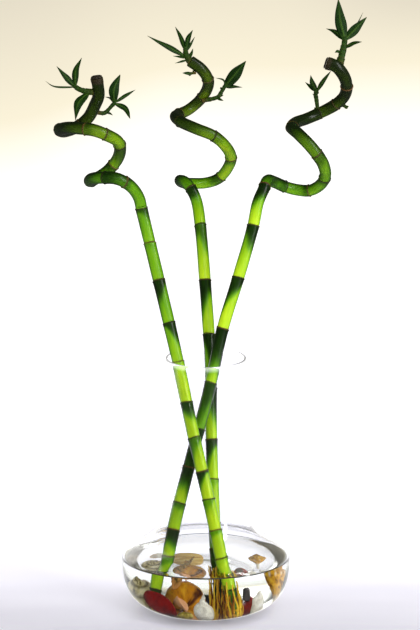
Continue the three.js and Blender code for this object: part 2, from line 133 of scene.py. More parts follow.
def catmull(points, uniform=False, per=40):
    """Catmull-Rom through the points, centripetal unless uniform."""
    p = np.asarray(points, float)
    p = np.vstack([2 * p[0] - p[1], p, 2 * p[-1] - p[-2]])
    out = []
    for i in range(1, len(p) - 2):
        p0, p1, p2, p3 = p[i - 1:i + 3]
        if uniform:
            t1, t2 = (p2 - p0) / 2, (p3 - p1) / 2
        else:
            d0, d1, d2 = [max(1e-6, float(np.sum((a - b) ** 2)) ** 0.25)
                          for a, b in ((p0, p1), (p1, p2), (p2, p3))]
            t1 = ((p1 - p0) / d0 - (p2 - p0) / (d0 + d1) + (p2 - p1) / d1) * d1
            t2 = ((p2 - p1) / d1 - (p3 - p1) / (d1 + d2) + (p3 - p2) / d2) * d1
        t = np.linspace(0, 1, per, endpoint=False)[:, None]
        square, cube = -3 * p1 + 3 * p2 - 2 * t1 - t2, 2 * p1 - 2 * p2 + t1 + t2
        out.append(p1 + t1 * t + square * t ** 2 + cube * t ** 3)
    out.append(p[-2][None])
    return np.vstack(out)


def distances(line):
    return np.r_[0, np.cumsum(np.linalg.norm(np.diff(line, axis=0), axis=1))]


def resample(line, at):
    d = distances(line)
    return np.stack([np.interp(at, d, line[:, k]) for k in range(line.shape[1])], axis=1)


def frames_along(line):
    """Side and up at each point, with the side carried along without twist."""
    tangent = unit(np.gradient(line, axis=0))
    side = np.empty_like(line)
    s = np.array([1.0, 0, 0])
    for i, t in enumerate(tangent):
        s = s - t * s.dot(t)
        if np.linalg.norm(s) < 1e-6:
            s = np.cross(t, (0.3, 1, 0.2))
        s = unit(s)
        side[i] = s
    return side, np.cross(tangent, side)


def tube(line, radius, sides):
    """Closed tube. radius is per station, or per station and angle. Returns vertices, faces, s and angle."""
    n = len(line)
    angle = around(sides)
    side, up = frames_along(line)
    r = np.asarray(radius, float)
    r = np.broadcast_to(r[:, None], (n, sides)) if r.ndim == 1 else r
    rim = side[:, None] * np.cos(angle)[None, :, None] + up[:, None] * np.sin(angle)[None, :, None]
    verts = (line[:, None] + rim * r[..., None]).reshape(-1, 3)
    s = distances(line)
    s_all = np.r_[np.repeat(s, sides), s[0], s[-1]]
    a_all = np.r_[np.tile(angle, n), 0, 0]
    return np.vstack([verts, line[:1], line[-1:]]), closed_faces(n, sides), s_all, a_all


def smoothstep(lo, hi, x):
    t = np.clip((x - lo) / (hi - lo), 0, 1)
    return t * t * (3 - 2 * t)


# Material helpers

UNDER_WATER_GLOSS = 0.06  # water around a surface takes away most of its gloss


class Nodes:
    """Adds nodes to a tree. An input is a number, a vector, a colour or another node's output."""

    def __init__(self, tree):
        self.tree = tree

    def node(self, kind, inputs=(), **props):
        n = self.tree.nodes.new("ShaderNode" + kind)
        for key, value in props.items():
            setattr(n, key, value)
        for key, value in dict(inputs).items():
            if isinstance(value, bpy.types.NodeSocket):
                self.tree.links.new(value, n.inputs[key])
            else:
                n.inputs[key].default_value = (*value, 1) if n.inputs[key].type == "RGBA" else value
        return n

    def math(self, operation, a, b=0.0, clamp=False):
        return self.node("Math", {0: a, 1: b}, operation=operation, use_clamp=clamp).outputs[0]

    def add(self, a, b, clamp=False):
        return self.math("ADD", a, b, clamp)

    def times(self, a, b, clamp=False):
        return self.math("MULTIPLY", a, b, clamp)

    def span(self, value, from_min, from_max, to_min=0.0, to_max=1.0, kind="SMOOTHSTEP"):
        limits = {"From Min": from_min, "From Max": from_max, "To Min": to_min, "To Max": to_max}
        return self.node("MapRange", {"Value": value, **limits}, interpolation_type=kind).outputs["Result"]

    def ramp(self, value, stops, interpolation="EASE"):
        n = self.node("ValToRGB", {"Fac": value})
        n.color_ramp.interpolation = interpolation
        while len(n.color_ramp.elements) < len(stops):
            n.color_ramp.elements.new(0.5)
        for element, (at, colour) in zip(n.color_ramp.elements, stops):
            element.position = at
            element.color = (*colour, 1)
        return n.outputs["Color"]

    def mix(self, factor, a, b, blend="MIX"):
        return self.node("Mix", {"Factor": factor, 6: a, 7: b}, data_type="RGBA", blend_type=blend).outputs[2]


class Shader(Nodes):
    """A material's nodes round its Principled shader."""

    def __init__(self, name):
        self.mat = bpy.data.materials.new(name)
        self.mat.use_nodes = True
        super().__init__(self.mat.node_tree)
        self.bsdf = self.tree.nodes["Principled BSDF"]

    def set(self, **values):
        for key, value in values.items():
            socket = self.bsdf.inputs[key.replace("_", " ")]
            socket.default_value = (*value, 1) if socket.type == "RGBA" else value

    def link(self, output, key):
        self.tree.links.new(output, self.bsdf.inputs[key])

    def done(self, colour, **values):
        self.link(colour, "Base Color")
        self.set(**values)
        return self.mat

    def value(self, name):
        return self.node("Attribute", attribute_name=name).outputs["Fac"]

    def vector(self, name):
        return self.node("Attribute", attribute_name=name).outputs["Vector"]

    def object_coords(self):
        return self.node("TexCoord").outputs["Object"]

    def facing(self):
        return self.node("LayerWeight", {"Blend": 0.5}).outputs["Facing"]

    def stretch(self, vector, scale):
        return self.node("Mapping", {"Vector": vector, "Scale": scale}).outputs["Vector"]

    def noise(self, vector, scale, detail=3.0):
        inputs = {"Vector": vector, "Scale": scale, "Detail": detail, "Roughness": 0.55}
        return self.node("TexNoise", inputs).outputs["Fac"]

    def bump(self, height, strength, distance=0.0005):
        n = self.node("Bump", {"Height": height, "Strength": strength, "Distance": distance})
        self.link(n.outputs["Normal"], "Normal")


def cane_material():
    """Lime to nearly black green by 'depth', painted shade at the silhouette, a tan or rusty scar line, fine
    streaks, soft gloss.
    """
    m = Shader("cane_skin")
    straight = m.vector("straight")
    streaks = m.noise(m.stretch(straight, (1.3, 1.3, 0.05)), 1.0, 4)
    blotch = m.noise(m.stretch(straight, (0.16, 0.16, 0.05)), 1.0, 2)
    specks = m.noise(m.stretch(straight, (1.5, 1.5, 0.8)), 1.0, 2)
    uneven = m.add(m.times(streaks, 0.22), m.times(blotch, 0.2))
    depth = m.add(m.value("depth"), m.math("SUBTRACT", uneven, 0.21), clamp=True)
    # Painted shade: the skin is darker where its surface turns away from view, towards the outline.
    depth = m.add(depth, m.span(m.facing(), 0.2, 0.8, 0.0, 0.3), clamp=True)
    colour = m.ramp(depth, [
        (0.0, (0.56, 0.8, 0.014)), (0.2, (0.33, 0.6, 0.004)), (0.42, (0.125, 0.355, 0.001)),
        (0.62, (0.048, 0.165, 0.001)), (0.8, (0.016, 0.062, 0.001)), (1.0, (0.005, 0.018, 0.002)),
    ], "LINEAR")
    fleck = m.ramp(specks, [(0.66, (0, 0, 0)), (0.78, (1, 1, 1))])
    colour = m.mix(m.times(fleck, 0.08), colour, (0.12, 0.12, 0.01))
    rust = m.ramp(m.value("rust"), [
        (0.0, (0.024, 0.018, 0.006)), (0.45, (0.05, 0.034, 0.008)), (0.75, (0.1, 0.055, 0.012)),
        (1.0, (0.12, 0.036, 0.012)),
    ])
    scar = m.times(m.value("scar"), m.add(streaks, 0.5), clamp=True)
    aged = m.mix(1.0, colour, (1.9, 0.85, 1.6), "MULTIPLY")
    colour = m.mix(m.value("aged"), colour, aged)
    colour = m.mix(scar, colour, rust)
    m.link(colour, "Base Color")
    m.link(m.ramp(scar, [(0.0, (0.3, 0.3, 0.3)), (1.0, (0.62, 0.62, 0.62))]), "Roughness")
    m.set(Specular_IOR_Level=0.35)
    m.set(Subsurface_Weight=0.05, Subsurface_Radius=(0.5, 1.0, 0.2), Subsurface_Scale=0.002)
    m.bump(m.add(streaks, m.times(specks, 0.4)), 0.12, 0.00025)
    return m.mat


def leaf_material():
    """Deep green blade with parallel veins, a paler midrib and reddish brown where 'tint' is high."""
    m = Shader("leaf_blade")
    blade = m.vector("blade")
    veins = m.noise(m.stretch(blade, (9.0, 0.35, 1.0)), 1.0, 3)
    broad = m.noise(m.stretch(blade, (1.2, 0.12, 1.0)), 1.0, 2)
    colour = m.ramp(broad, [(0.3, (0.004, 0.016, 0.002)), (0.7, (0.011, 0.040, 0.004))])
    colour = m.mix(m.times(veins, 0.25), colour, (0.016, 0.058, 0.006))
    pale = m.value("pale")
    colour = m.mix(pale, colour, (0.1, 0.21, 0.02))
    tint = m.value("tint")
    colour = m.mix(tint, colour, (0.17, 0.07, 0.018))
    m.bump(veins, 0.2, 0.0003)
    return m.done(colour, Roughness=0.5, Specular_IOR_Level=0.14)


def root_material():
    """Dark red brown root skin with orange and bright yellow roots where 'tone' is high."""
    m = Shader("root_skin")
    straight = m.vector("straight")
    bands = m.noise(m.stretch(straight, (0.9, 0.9, 0.22)), 1.0, 3)
    tone = m.value("tone")
    value = m.add(m.times(bands, 0.5), m.times(tone, 0.75), clamp=True)
    colour = m.ramp(value, [
        (0.14, (0.060, 0.020, 0.003)), (0.36, (0.25, 0.085, 0.006)), (0.58, (0.62, 0.29, 0.014)),
        (0.85, (0.92, 0.62, 0.04)),
    ], "LINEAR")
    m.bump(bands, 0.4, 0.0004)
    return m.done(colour, Roughness=0.5, Specular_IOR_Level=UNDER_WATER_GLOSS)


def seal_material():
    m = Shader("dried_cut")
    grain = m.noise(m.object_coords(), 700.0, 4)
    m.bump(grain, 0.6, 0.0004)
    return m.done(m.ramp(grain, [(0.3, (0.008, 0.007, 0.005)), (0.7, (0.045, 0.036, 0.02))]), Roughness=0.75)


def shell_material(name, dark, middle, light, bands, lip, gloss=0.25, spots=0.3):
    """Growth bands across the whorl, flecks, a 'shade' of the darkest tone, which is partly painted shade,
    and a lip of its own colour.
    """
    m = Shader(name)
    whorl = m.vector("whorl")
    band = m.noise(m.stretch(whorl, bands), 1.0, 3)
    fleck = m.noise(m.stretch(whorl, (3.5, 2.4, 1.0)), 1.0, 3)
    colour = m.ramp(band, [(0.36, dark), (0.5, middle), (0.64, light)])
    mark = m.ramp(fleck, [(0.56, (0, 0, 0)), (0.66, (1, 1, 1))])
    colour = m.mix(m.times(mark, spots), colour, dark)
    shade = m.times(m.value("shade"), m.add(fleck, 0.45), clamp=True)
    colour = m.mix(shade, colour, dark)
    colour = m.mix(m.value("lip"), colour, lip)
    m.bump(band, 0.3, 0.0005)
    return m.done(colour, Roughness=gloss, Specular_IOR_Level=UNDER_WATER_GLOSS)


def stone_material(name, dark, light):
    m = Shader(name)
    where = m.object_coords()
    cloud = m.noise(where, 90.0, 4)
    grain = m.noise(where, 900.0, 3)
    colour = m.ramp(cloud, [(0.32, dark), (0.68, light)])
    colour = m.mix(m.times(grain, 0.3), colour, dark)
    m.bump(grain, 0.12, 0.0003)
    return m.done(colour, Roughness=0.22, Specular_IOR_Level=UNDER_WATER_GLOSS)


def glass_material():
    m = Shader("vase_glass")
    ripple = m.noise(m.object_coords(), 14.0, 1)
    m.set(Roughness=0.0, IOR=1.47, Transmission_Weight=1.0, Emission_Color=(1.0, 1.0, 1.0))
    # Painted shade: seen at a grazing angle, the bowl's wall below the water line is tinted deeper, more so
    # on the right.
    edge = m.times(m.span(m.facing(), 0.45, 0.85), m.value("wall"))
    m.link(m.mix(edge, (0.985, 0.995, 0.99), (0.66, 0.64, 0.55)), "Base Color")
    # Painted glint: the lip glows faintly white where 'pale' is set.
    m.link(m.times(m.value("pale"), 0.22), "Emission Strength")
    m.bump(ripple, 0.05, 0.0006)
    return m.mat


def water_material():
    m = Shader("water")
    ripple = m.noise(m.object_coords(), 30.0, 1)
    m.set(Base_Color=(0.965, 0.975, 0.955), Roughness=0.0, IOR=1.333, Transmission_Weight=1.0)
    m.bump(ripple, 0.05, 0.0006)
    return m.mat


def finish_piece(obj, material, node):
    obj.data.materials.clear()
    obj.data.materials.append(material)
    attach(obj, "root")
    if node:
        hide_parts(node)
    return obj


# Vase. The same driving sizes as the solids.

WALL = 2.4
FLOOR = 4.6
MOUTH_TILT = 0.17
WATER_LEVEL = 53.0
WAIST_HEIGHT, VASE_HEIGHT = 168.0, 253.0
PROFILE = [
    (40, 0), (50, 3.2), (65, 8.7), (76.3, 18), (82.7, 32), (84.6, 49), (83, 57.5), (74, 65), (62, 72),
    (52, 81), (42.5, 98), (36.5, 122), (31.5, 150), (30, 168), (31.5, 190), (35, 215), (39, 241), (40.5, 253),
]


def offset_profile(distance):
    line = catmull(PROFILE, uniform=True, per=7)
    along = unit(np.gradient(line, axis=0))
    return np.c_[line[:, 0] - along[:, 1] * distance, line[:, 1] + along[:, 0] * distance]


def lathe(profile, sides, warp=None):
    """Turns (r, z) pairs that start and end on the axis into a closed mesh."""
    profile = np.asarray(profile, float)
    body = profile[1:-1]
    a = around(sides)
    verts = np.stack([
        body[:, :1] * np.cos(a), body[:, :1] * np.sin(a), np.repeat(body[:, 1:], sides, axis=1),
    ], axis=-1).reshape(-1, 3)
    verts = np.vstack([verts, [0, 0, profile[0, 1]], [0, 0, profile[-1, 1]]])
    return (warp(verts) if warp else verts), closed_faces(len(body), sides)


def tilt_mouth(verts):
    reach = smoothstep(WAIST_HEIGHT, VASE_HEIGHT, verts[:, 2])
    verts[:, 2] += MOUTH_TILT * verts[:, 1] * reach
    return verts


outer = offset_profile(0)
inner = offset_profile(WALL)
inner = inner[inner[:, 1] > FLOOR + 0.1]
turn = np.linspace(0, np.pi, 9)[1:-1]
lip_centre = (outer[-1] + inner[-1]) / 2
lip_half = np.linalg.norm(outer[-1] - inner[-1]) / 2
lip = np.c_[lip_centre[0] + lip_half * np.cos(turn), lip_centre[1] + 1.15 * lip_half * np.sin(turn)]
floor_edge = [(0, FLOOR), (30, FLOOR), (46, FLOOR + 0.05), tuple(inner[1])]
floor_edge = catmull(floor_edge, uniform=True, per=6)[6:-1]
vase_profile = np.vstack([
    (0, 0.9), (30, 0.7), (36, 0.15), (38, 0), outer[1:], lip, inner[::-1][:-1], floor_edge[::-1], (0, FLOOR),
])
VASE_SIDES = 128
verts, faces = lathe(vase_profile, VASE_SIDES, tilt_mouth)
# Painted glint: 'pale' marks the lip, which glows faintly.
lip_glint_glow = np.repeat(smoothstep(248.5, 252, vase_profile[1:-1, 1]), VASE_SIDES)
# Painted shade: where the bowl's wall is tinted darker at grazing angles, most on the right.
wall_shade = smoothstep(2, 6, verts[:, 2]) * (1 - smoothstep(51, 57, verts[:, 2]))
wall_shade = wall_shade * (0.8 + 0.2 * verts[:, 0] / 84)
vase = make_object("vase_body", verts, faces, {"pale": np.r_[lip_glint_glow, 0, 0], "wall": wall_shade})
vase.visible_shadow = False
finish_piece(vase, glass_material(), "vase")

# Water, sunk a hair into the glass so that light passes straight from one to the other.

wet = offset_profile(WALL - 0.12)
wet = wet[(wet[:, 1] > FLOOR) & (wet[:, 1] < WATER_LEVEL + 1.0)]
edge_radius = wet[-1, 0]
meniscus = [(edge_radius - d, WATER_LEVEL + 1.1 * math.exp(-d / 1.1)) for d in (0.25, 0.6, 1.1, 1.8, 3, 5, 9)]
water_profile = np.vstack([
    (0, FLOOR - 0.12), (44, FLOOR - 0.12), wet[1:], meniscus, (30, WATER_LEVEL), (0, WATER_LEVEL),
])
verts, faces = lathe(water_profile, VASE_SIDES)
water = make_object("water_body", verts, faces)
water_line_radius = float(np.interp(WATER_LEVEL + 0.6, inner[:, 1], inner[:, 0]))
water.visible_shadow = False
finish_piece(water, water_material(), "water")

# Painted shade: a dark band stands for the dark line that the water's edge shows on the glass, strongest in
# front.
sides = 160
turn = around(sides)
rise = 0.62 - 0.28 * np.sin(turn)
corners = [(-0.55, 0.0), (-0.2, 0.0), (-0.2, 1.0), (-0.55, 1.0)]
verts = np.vstack([
    np.c_[(water_line_radius + inset) * np.cos(turn), (water_line_radius + inset) * np.sin(turn),
          WATER_LEVEL + 0.25 + rise * upper]
    for inset, upper in corners
])
faces = ring_faces(4, sides)
faces += [(3 * sides + j, 3 * sides + (j + 1) % sides, (j + 1) % sides, j) for j in range(sides)]
water_line_shade = make_object("water_line_shade", verts, faces)
water_line_shade.visible_shadow = False
# Dark greys of the painted shade band.
line_shader = Shader("water_line_shade")
line_tone = line_shader.noise(line_shader.object_coords(), 60.0, 2)
line_stops = [(0.3, (0.035, 0.035, 0.030)), (0.7, (0.1, 0.1, 0.085))]
line_shader.link(line_shader.ramp(line_tone, line_stops), "Base Color")
line_shader.set(Roughness=0.4, Specular_IOR_Level=UNDER_WATER_GLOSS)
finish_piece(water_line_shade, line_shader.mat, None)


# Canes. Points from the foot up in millimetres, as in the solids, and the tones of each internode:
# how dark its upper end is, how far down that reaches, how green it is at its top and at its bottom,
# and the side on which the dark reaches further (an angle, 0 is the right) and by what share.
# The dark zones are the cane's own colour; their further reach on one side is partly painted shade.

LEFT, RIGHT = math.pi, 0.0
CANES = {
    "cane_left": dict(
        points=[
            (25.5, -47, 10.9), (5.2, -29, 106), (-11, -15, 174), (-28, -4, 251), (-47, 7, 330),
            (-65, 17, 403), (-67, 13, 413), (-72, 4, 422), (-79, -4, 428), (-89, -9, 432),
            (-103, -5, 433), (-114, 8, 433),
            (-118, 24, 432), (-113, 39, 436), (-102, 44, 444), (-92, 37, 454), (-87, 22, 463), (-88, 8, 470),
            (-98, -5, 475), (-110, -10, 479), (-123, -8, 481), (-138, 3, 483), (-148, 20, 483),
            (-145, 38, 484), (-134, 49, 490), (-122, 46, 499), (-114, 36, 510), (-109, 27, 519),
            (-109, 21, 527), (-110, 17, 535),
        ],
        rings=[25, 51, 79, 110, 138, 172, 208, 249, 289, 333, 372, 409, 447, 468, 512, 547, 582, 607, 627,
               668, 711],
        tones=[
            (0.4, 1.0, 0.3, 0.55, LEFT, 0.3), (0.15, 0.3, 0.05, 0.12, LEFT, 0.3),
            (0.35, 0.25, 0.14, 0.05, LEFT, 0.6), (0.35, 0.4, 0.12, 0.0, LEFT, 0.8),
            (0.9, 0.45, 0.16, 0.02, LEFT, 0.9), (0.5, 0.55, 0.25, 0.02, LEFT, 0.95),
            (0.85, 0.55, 0.22, 0.08, RIGHT, 0.3), (0.2, 0.25, 0.14, 0.05, LEFT, 0.5),
            (0.85, 0.42, 0.42, 0.28, RIGHT, 0.9), (0.92, 0.5, 0.45, 0.38, LEFT, 0.65),
            (0.12, 0.2, 0.42, 0.36, RIGHT, 0.0), (0.55, 0.3, 0.48, 0.36, RIGHT, 0.6),
            (0.35, 0.2, 0.45, 0.4, LEFT, 0.3), (0.5, 0.8, 0.7, 0.6, LEFT, 0.2),
            (0.2, 0.4, 0.62, 0.56, LEFT, 0.2), (0.3, 0.4, 0.58, 0.5, LEFT, 0.2),
            (0.35, 0.9, 0.4, 0.36, LEFT, 0.8), (0.2, 0.3, 0.42, 0.36, RIGHT, 0.2),
            (0.25, 0.4, 0.56, 0.48, LEFT, 0.2), (0.5, 0.8, 0.78, 0.72, LEFT, 0.2),
            (0.6, 1.0, 0.82, 0.72, LEFT, 0.2), (0.7, 1.0, 0.85, 0.8, LEFT, 0.2),
        ]),
    "cane_middle": dict(
        points=[
            (13, -35, 8.9), (7.6, -9, 110), (5.6, 9, 178), (5, 25, 240), (-1, 48, 330), (-6, 63, 388),
            (-10, 73, 414), (-15, 74, 426), (-22, 79, 435), (-28, 91, 438), (-26, 106, 437), (-15, 118, 437),
            (0, 124, 438), (13, 119, 442), (23, 108, 452), (27, 94, 463), (20, 77, 474), (8, 68, 483),
            (-10, 65, 490), (-26, 73, 498), (-33, 90, 506), (-30, 106, 511), (-19, 117, 518), (-7, 116, 528),
            (1, 104, 538), (2, 90, 546), (-5, 80, 555), (-17, 76, 563),
        ],
        rings=[30, 58, 84, 127, 167, 219, 275, 333, 393, 436, 480, 528, 560, 599, 641, 677, 714, 744],
        tones=[
            (0.5, 1.0, 0.82, 0.85, LEFT, 0.2), (0.4, 1.0, 0.72, 0.72, LEFT, 0.2),
            (0.4, 0.8, 0.55, 0.4, LEFT, 0.4), (0.25, 0.3, 0.16, 0.04, LEFT, 0.5),
            (0.88, 0.6, 0.3, 0.05, LEFT, 0.75), (0.9, 0.75, 0.35, 0.08, RIGHT, 0.15),
            (0.92, 0.75, 0.45, 0.32, RIGHT, 0.7), (0.95, 0.6, 0.35, 0.1, LEFT, 0.45),
            (0.5, 0.5, 0.42, 0.03, RIGHT, 0.5), (0.75, 0.35, 0.45, 0.22, LEFT, 0.2),
            (0.5, 0.7, 0.62, 0.45, LEFT, 0.3), (0.4, 0.3, 0.42, 0.3, RIGHT, 0.3),
            (0.3, 0.3, 0.36, 0.28, RIGHT, 0.2), (0.3, 0.3, 0.38, 0.3, LEFT, 0.2),
            (0.4, 0.8, 0.64, 0.55, LEFT, 0.2), (0.5, 1.0, 0.74, 0.68, LEFT, 0.2),
            (0.4, 0.7, 0.64, 0.5, LEFT, 0.3), (0.4, 0.8, 0.66, 0.6, LEFT, 0.2),
            (0.5, 1.0, 0.76, 0.7, LEFT, 0.2),
        ]),
    "cane_right": dict(
        points=[
            (-45.5, -36, 14.5), (-31, -19, 87), (-17, -5, 144), (5, 6, 228), (17, 11, 282), (33, 17, 334),
            (48, 21, 386), (53, 22, 410), (59, 25, 424), (63, 34, 433), (71, 49, 433), (83, 60, 429),
            (96, 64, 426), (109, 60, 425), (119, 50, 430), (123, 38, 438), (119, 22, 449), (112, 14, 458),
            (103, 11, 468), (94, 16, 478), (88, 31, 487), (93, 47, 494), (106, 60, 500), (121, 64, 507),
            (135, 58, 514), (143, 47, 521), (144, 34, 529), (139, 21, 538), (130, 14, 546), (121, 14, 549),
        ],
        rings=[19, 46, 73, 100, 137, 176, 224, 280, 334, 389, 432, 476, 504, 532, 569, 616, 669, 689, 719],
        tones=[
            (0.6, 1.0, 0.75, 0.9, LEFT, 0.2), (0.3, 0.4, 0.3, 0.14, LEFT, 0.3),
            (0.92, 0.8, 0.5, 0.1, RIGHT, 0.1), (0.4, 0.3, 0.34, 0.14, RIGHT, 0.2),
            (0.9, 0.8, 0.45, 0.08, RIGHT, 0.3), (0.9, 1.3, 0.8, 0.72, LEFT, 0.1),
            (0.55, 0.9, 0.62, 0.42, LEFT, 0.5), (0.97, 1.05, 0.5, 0.12, RIGHT, 0.05),
            (0.92, 0.55, 0.25, 0.04, LEFT, 0.7), (0.88, 0.45, 0.48, 0.08, RIGHT, 0.5),
            (0.95, 0.55, 0.5, 0.06, LEFT, 0.35), (0.35, 0.5, 0.52, 0.46, LEFT, 0.2),
            (0.3, 0.4, 0.44, 0.4, LEFT, 0.2), (0.3, 0.4, 0.46, 0.42, LEFT, 0.2),
            (0.4, 0.4, 0.46, 0.42, RIGHT, 0.3), (0.45, 0.7, 0.68, 0.56, LEFT, 0.2),
            (0.6, 0.8, 0.8, 0.74, LEFT, 0.2), (0.5, 0.8, 0.76, 0.74, LEFT, 0.2),
            (0.7, 0.9, 0.85, 0.8, LEFT, 0.2), (0.8, 1.0, 0.9, 0.9, LEFT, 0.2),
        ]),
}
CANE_RADIUS = 6.1
FOOT_TAPER = 0.18
TAPER_LENGTH = 55.0


def cane_piece(name, points, rings, tones, material, cut):
    line = catmull(points)
    length = distances(line)[-1]
    ends = [0, 0.25, 0.7, length - 0.7, length - 0.25, length]
    fine = np.concatenate([at + np.arange(-2.4, 2.5, 0.4) for at in rings])
    stations = np.unique(np.round(np.concatenate([np.arange(0, length, 1.6), fine, ends]), 3))
    stations = stations[(stations >= 0) & (stations <= length)]
    sides = 28
    centre = resample(line, stations)
    s = stations[:, None]
    a = around(sides)[None]
    r = CANE_RADIUS * (1 - FOOT_TAPER * (1 - smoothstep(0, TAPER_LENGTH, s))) + 0 * a
    scar = np.zeros_like(r)
    rust = np.zeros_like(r)
    for k, at in enumerate(rings):
        wave = 0.45 * np.sin(a + 1.7 * k) + 0.18 * np.sin(3 * a + 2.3 * k)
        d = s - at - wave
        r = r + 0.5 * np.exp(-((d / 0.5) ** 2))
        r = r + np.where(d < 0, 0.36 * np.exp(d / 5), -0.22 * np.exp(-np.maximum(d, 0) / 3.0))
        scar = np.maximum(scar, np.exp(-(((d - 0.1) / 0.75) ** 2)))
        rust = np.where(np.abs(d) < 6, (0.37 * k + 0.2) % 1.0, rust)
    r = r + 0.06 * np.sin(2 * a + s / 40) + 0.05 * np.sin(s / 9.0 + 1.3)
    end = np.minimum(s, length - s)
    r = r - 0.55 * np.clip(1 - end / 0.7, 0, 1) ** 2
    bounds = np.r_[0, rings, length]
    k = np.clip(np.searchsorted(rings, stations, side="left"), 0, len(tones) - 1)
    down = ((bounds[k + 1] - stations) / (bounds[k + 1] - bounds[k]))[:, None]
    amount, reach, top, bottom, side, bias = (column[:, None] for column in np.array(tones)[k].T)
    # The dark reaches further on one side, partly as painted shade.
    reach = reach * (1 + bias * np.cos(a - side) + 0.12 * np.sin(3 * a + 2.1 * k[:, None]))
    reach = np.maximum(reach, 0.02)
    base = top + (bottom - top) * smoothstep(0, 1, down)
    depth = base + (1 - base) * amount * (1 - smoothstep(0.25 * reach, reach, down))
    depth = np.maximum(depth, 0.55 * amount * np.exp(-down * 22))
    # The curls are a little darker overall; their upper side is painted darker as shade and their underside
    # lighter, as if lit from below.
    across, up = frames_along(centre)
    facing_up = across[:, 2:] * np.cos(a) + up[:, 2:] * np.sin(a)
    depth = depth + smoothstep(400, 450, s) * (0.08 + 0.16 * facing_up)
    aged = 0.8 * smoothstep(470, 700, s) + 0 * a
    if cut:
        dry = smoothstep(length - 6.5, length - 4.0, s + 0.8 * np.sin(a))
        r = r + 0.35 * dry
        scar = np.maximum(scar, dry)
        rust = np.where(dry > 0.01, 0.1, rust)
    verts, faces, s_all, a_all = tube(centre, r, sides)

    def with_ends(values):
        return np.r_[values.ravel(), values[0].mean(), values[-1].mean()]

    straight = np.c_[CANE_RADIUS * np.cos(a_all), CANE_RADIUS * np.sin(a_all), s_all]
    obj = make_object(name + "_stem", verts, faces, {
        "depth": with_ends(depth), "rust": with_ends(rust), "scar": with_ends(scar), "aged": with_ends(aged),
        "straight": straight,
    })
    finish_piece(obj, material, name)
    return line


cane_skin = cane_material()
cane_lines = {
    name: cane_piece(name, material=cane_skin, cut=name != "cane_middle", **data)
    for name, data in CANES.items()
}


# Dark dried caps on the two cut ends.

def seal_piece(name, line, material):
    end, along = line[-1], unit(line[-1] - line[-4])
    profile = [
        (0, 0.05), (3, 0.05), (5.3, 0.1), (5.75, 0.4), (5.6, 1.0), (4.9, 1.45), (3.4, 1.75), (1.6, 1.7),
        (0, 1.6),
    ]
    verts, faces = lathe(profile, 28)
    angle = np.arctan2(verts[:, 1], verts[:, 0])
    verts[:, 2] += 0.14 * np.sin(3 * angle) * np.hypot(verts[:, 0], verts[:, 1]) / 5.7
    verts[:, 2] = np.maximum(verts[:, 2], 0.02)
    rotation = np.array(Vector((0, 0, 1)).rotation_difference(Vector(along)).to_matrix())
    obj = make_object(name + "_cap", verts @ rotation.T + end, faces)
    finish_piece(obj, material, name)


dried = seal_material()
seal_piece("end_seal_left", cane_lines["cane_left"], dried)
seal_piece("end_seal_right", cane_lines["cane_right"], dried)


# Shoots: a stem wrapped in short sheaths, with lance-shaped blades.

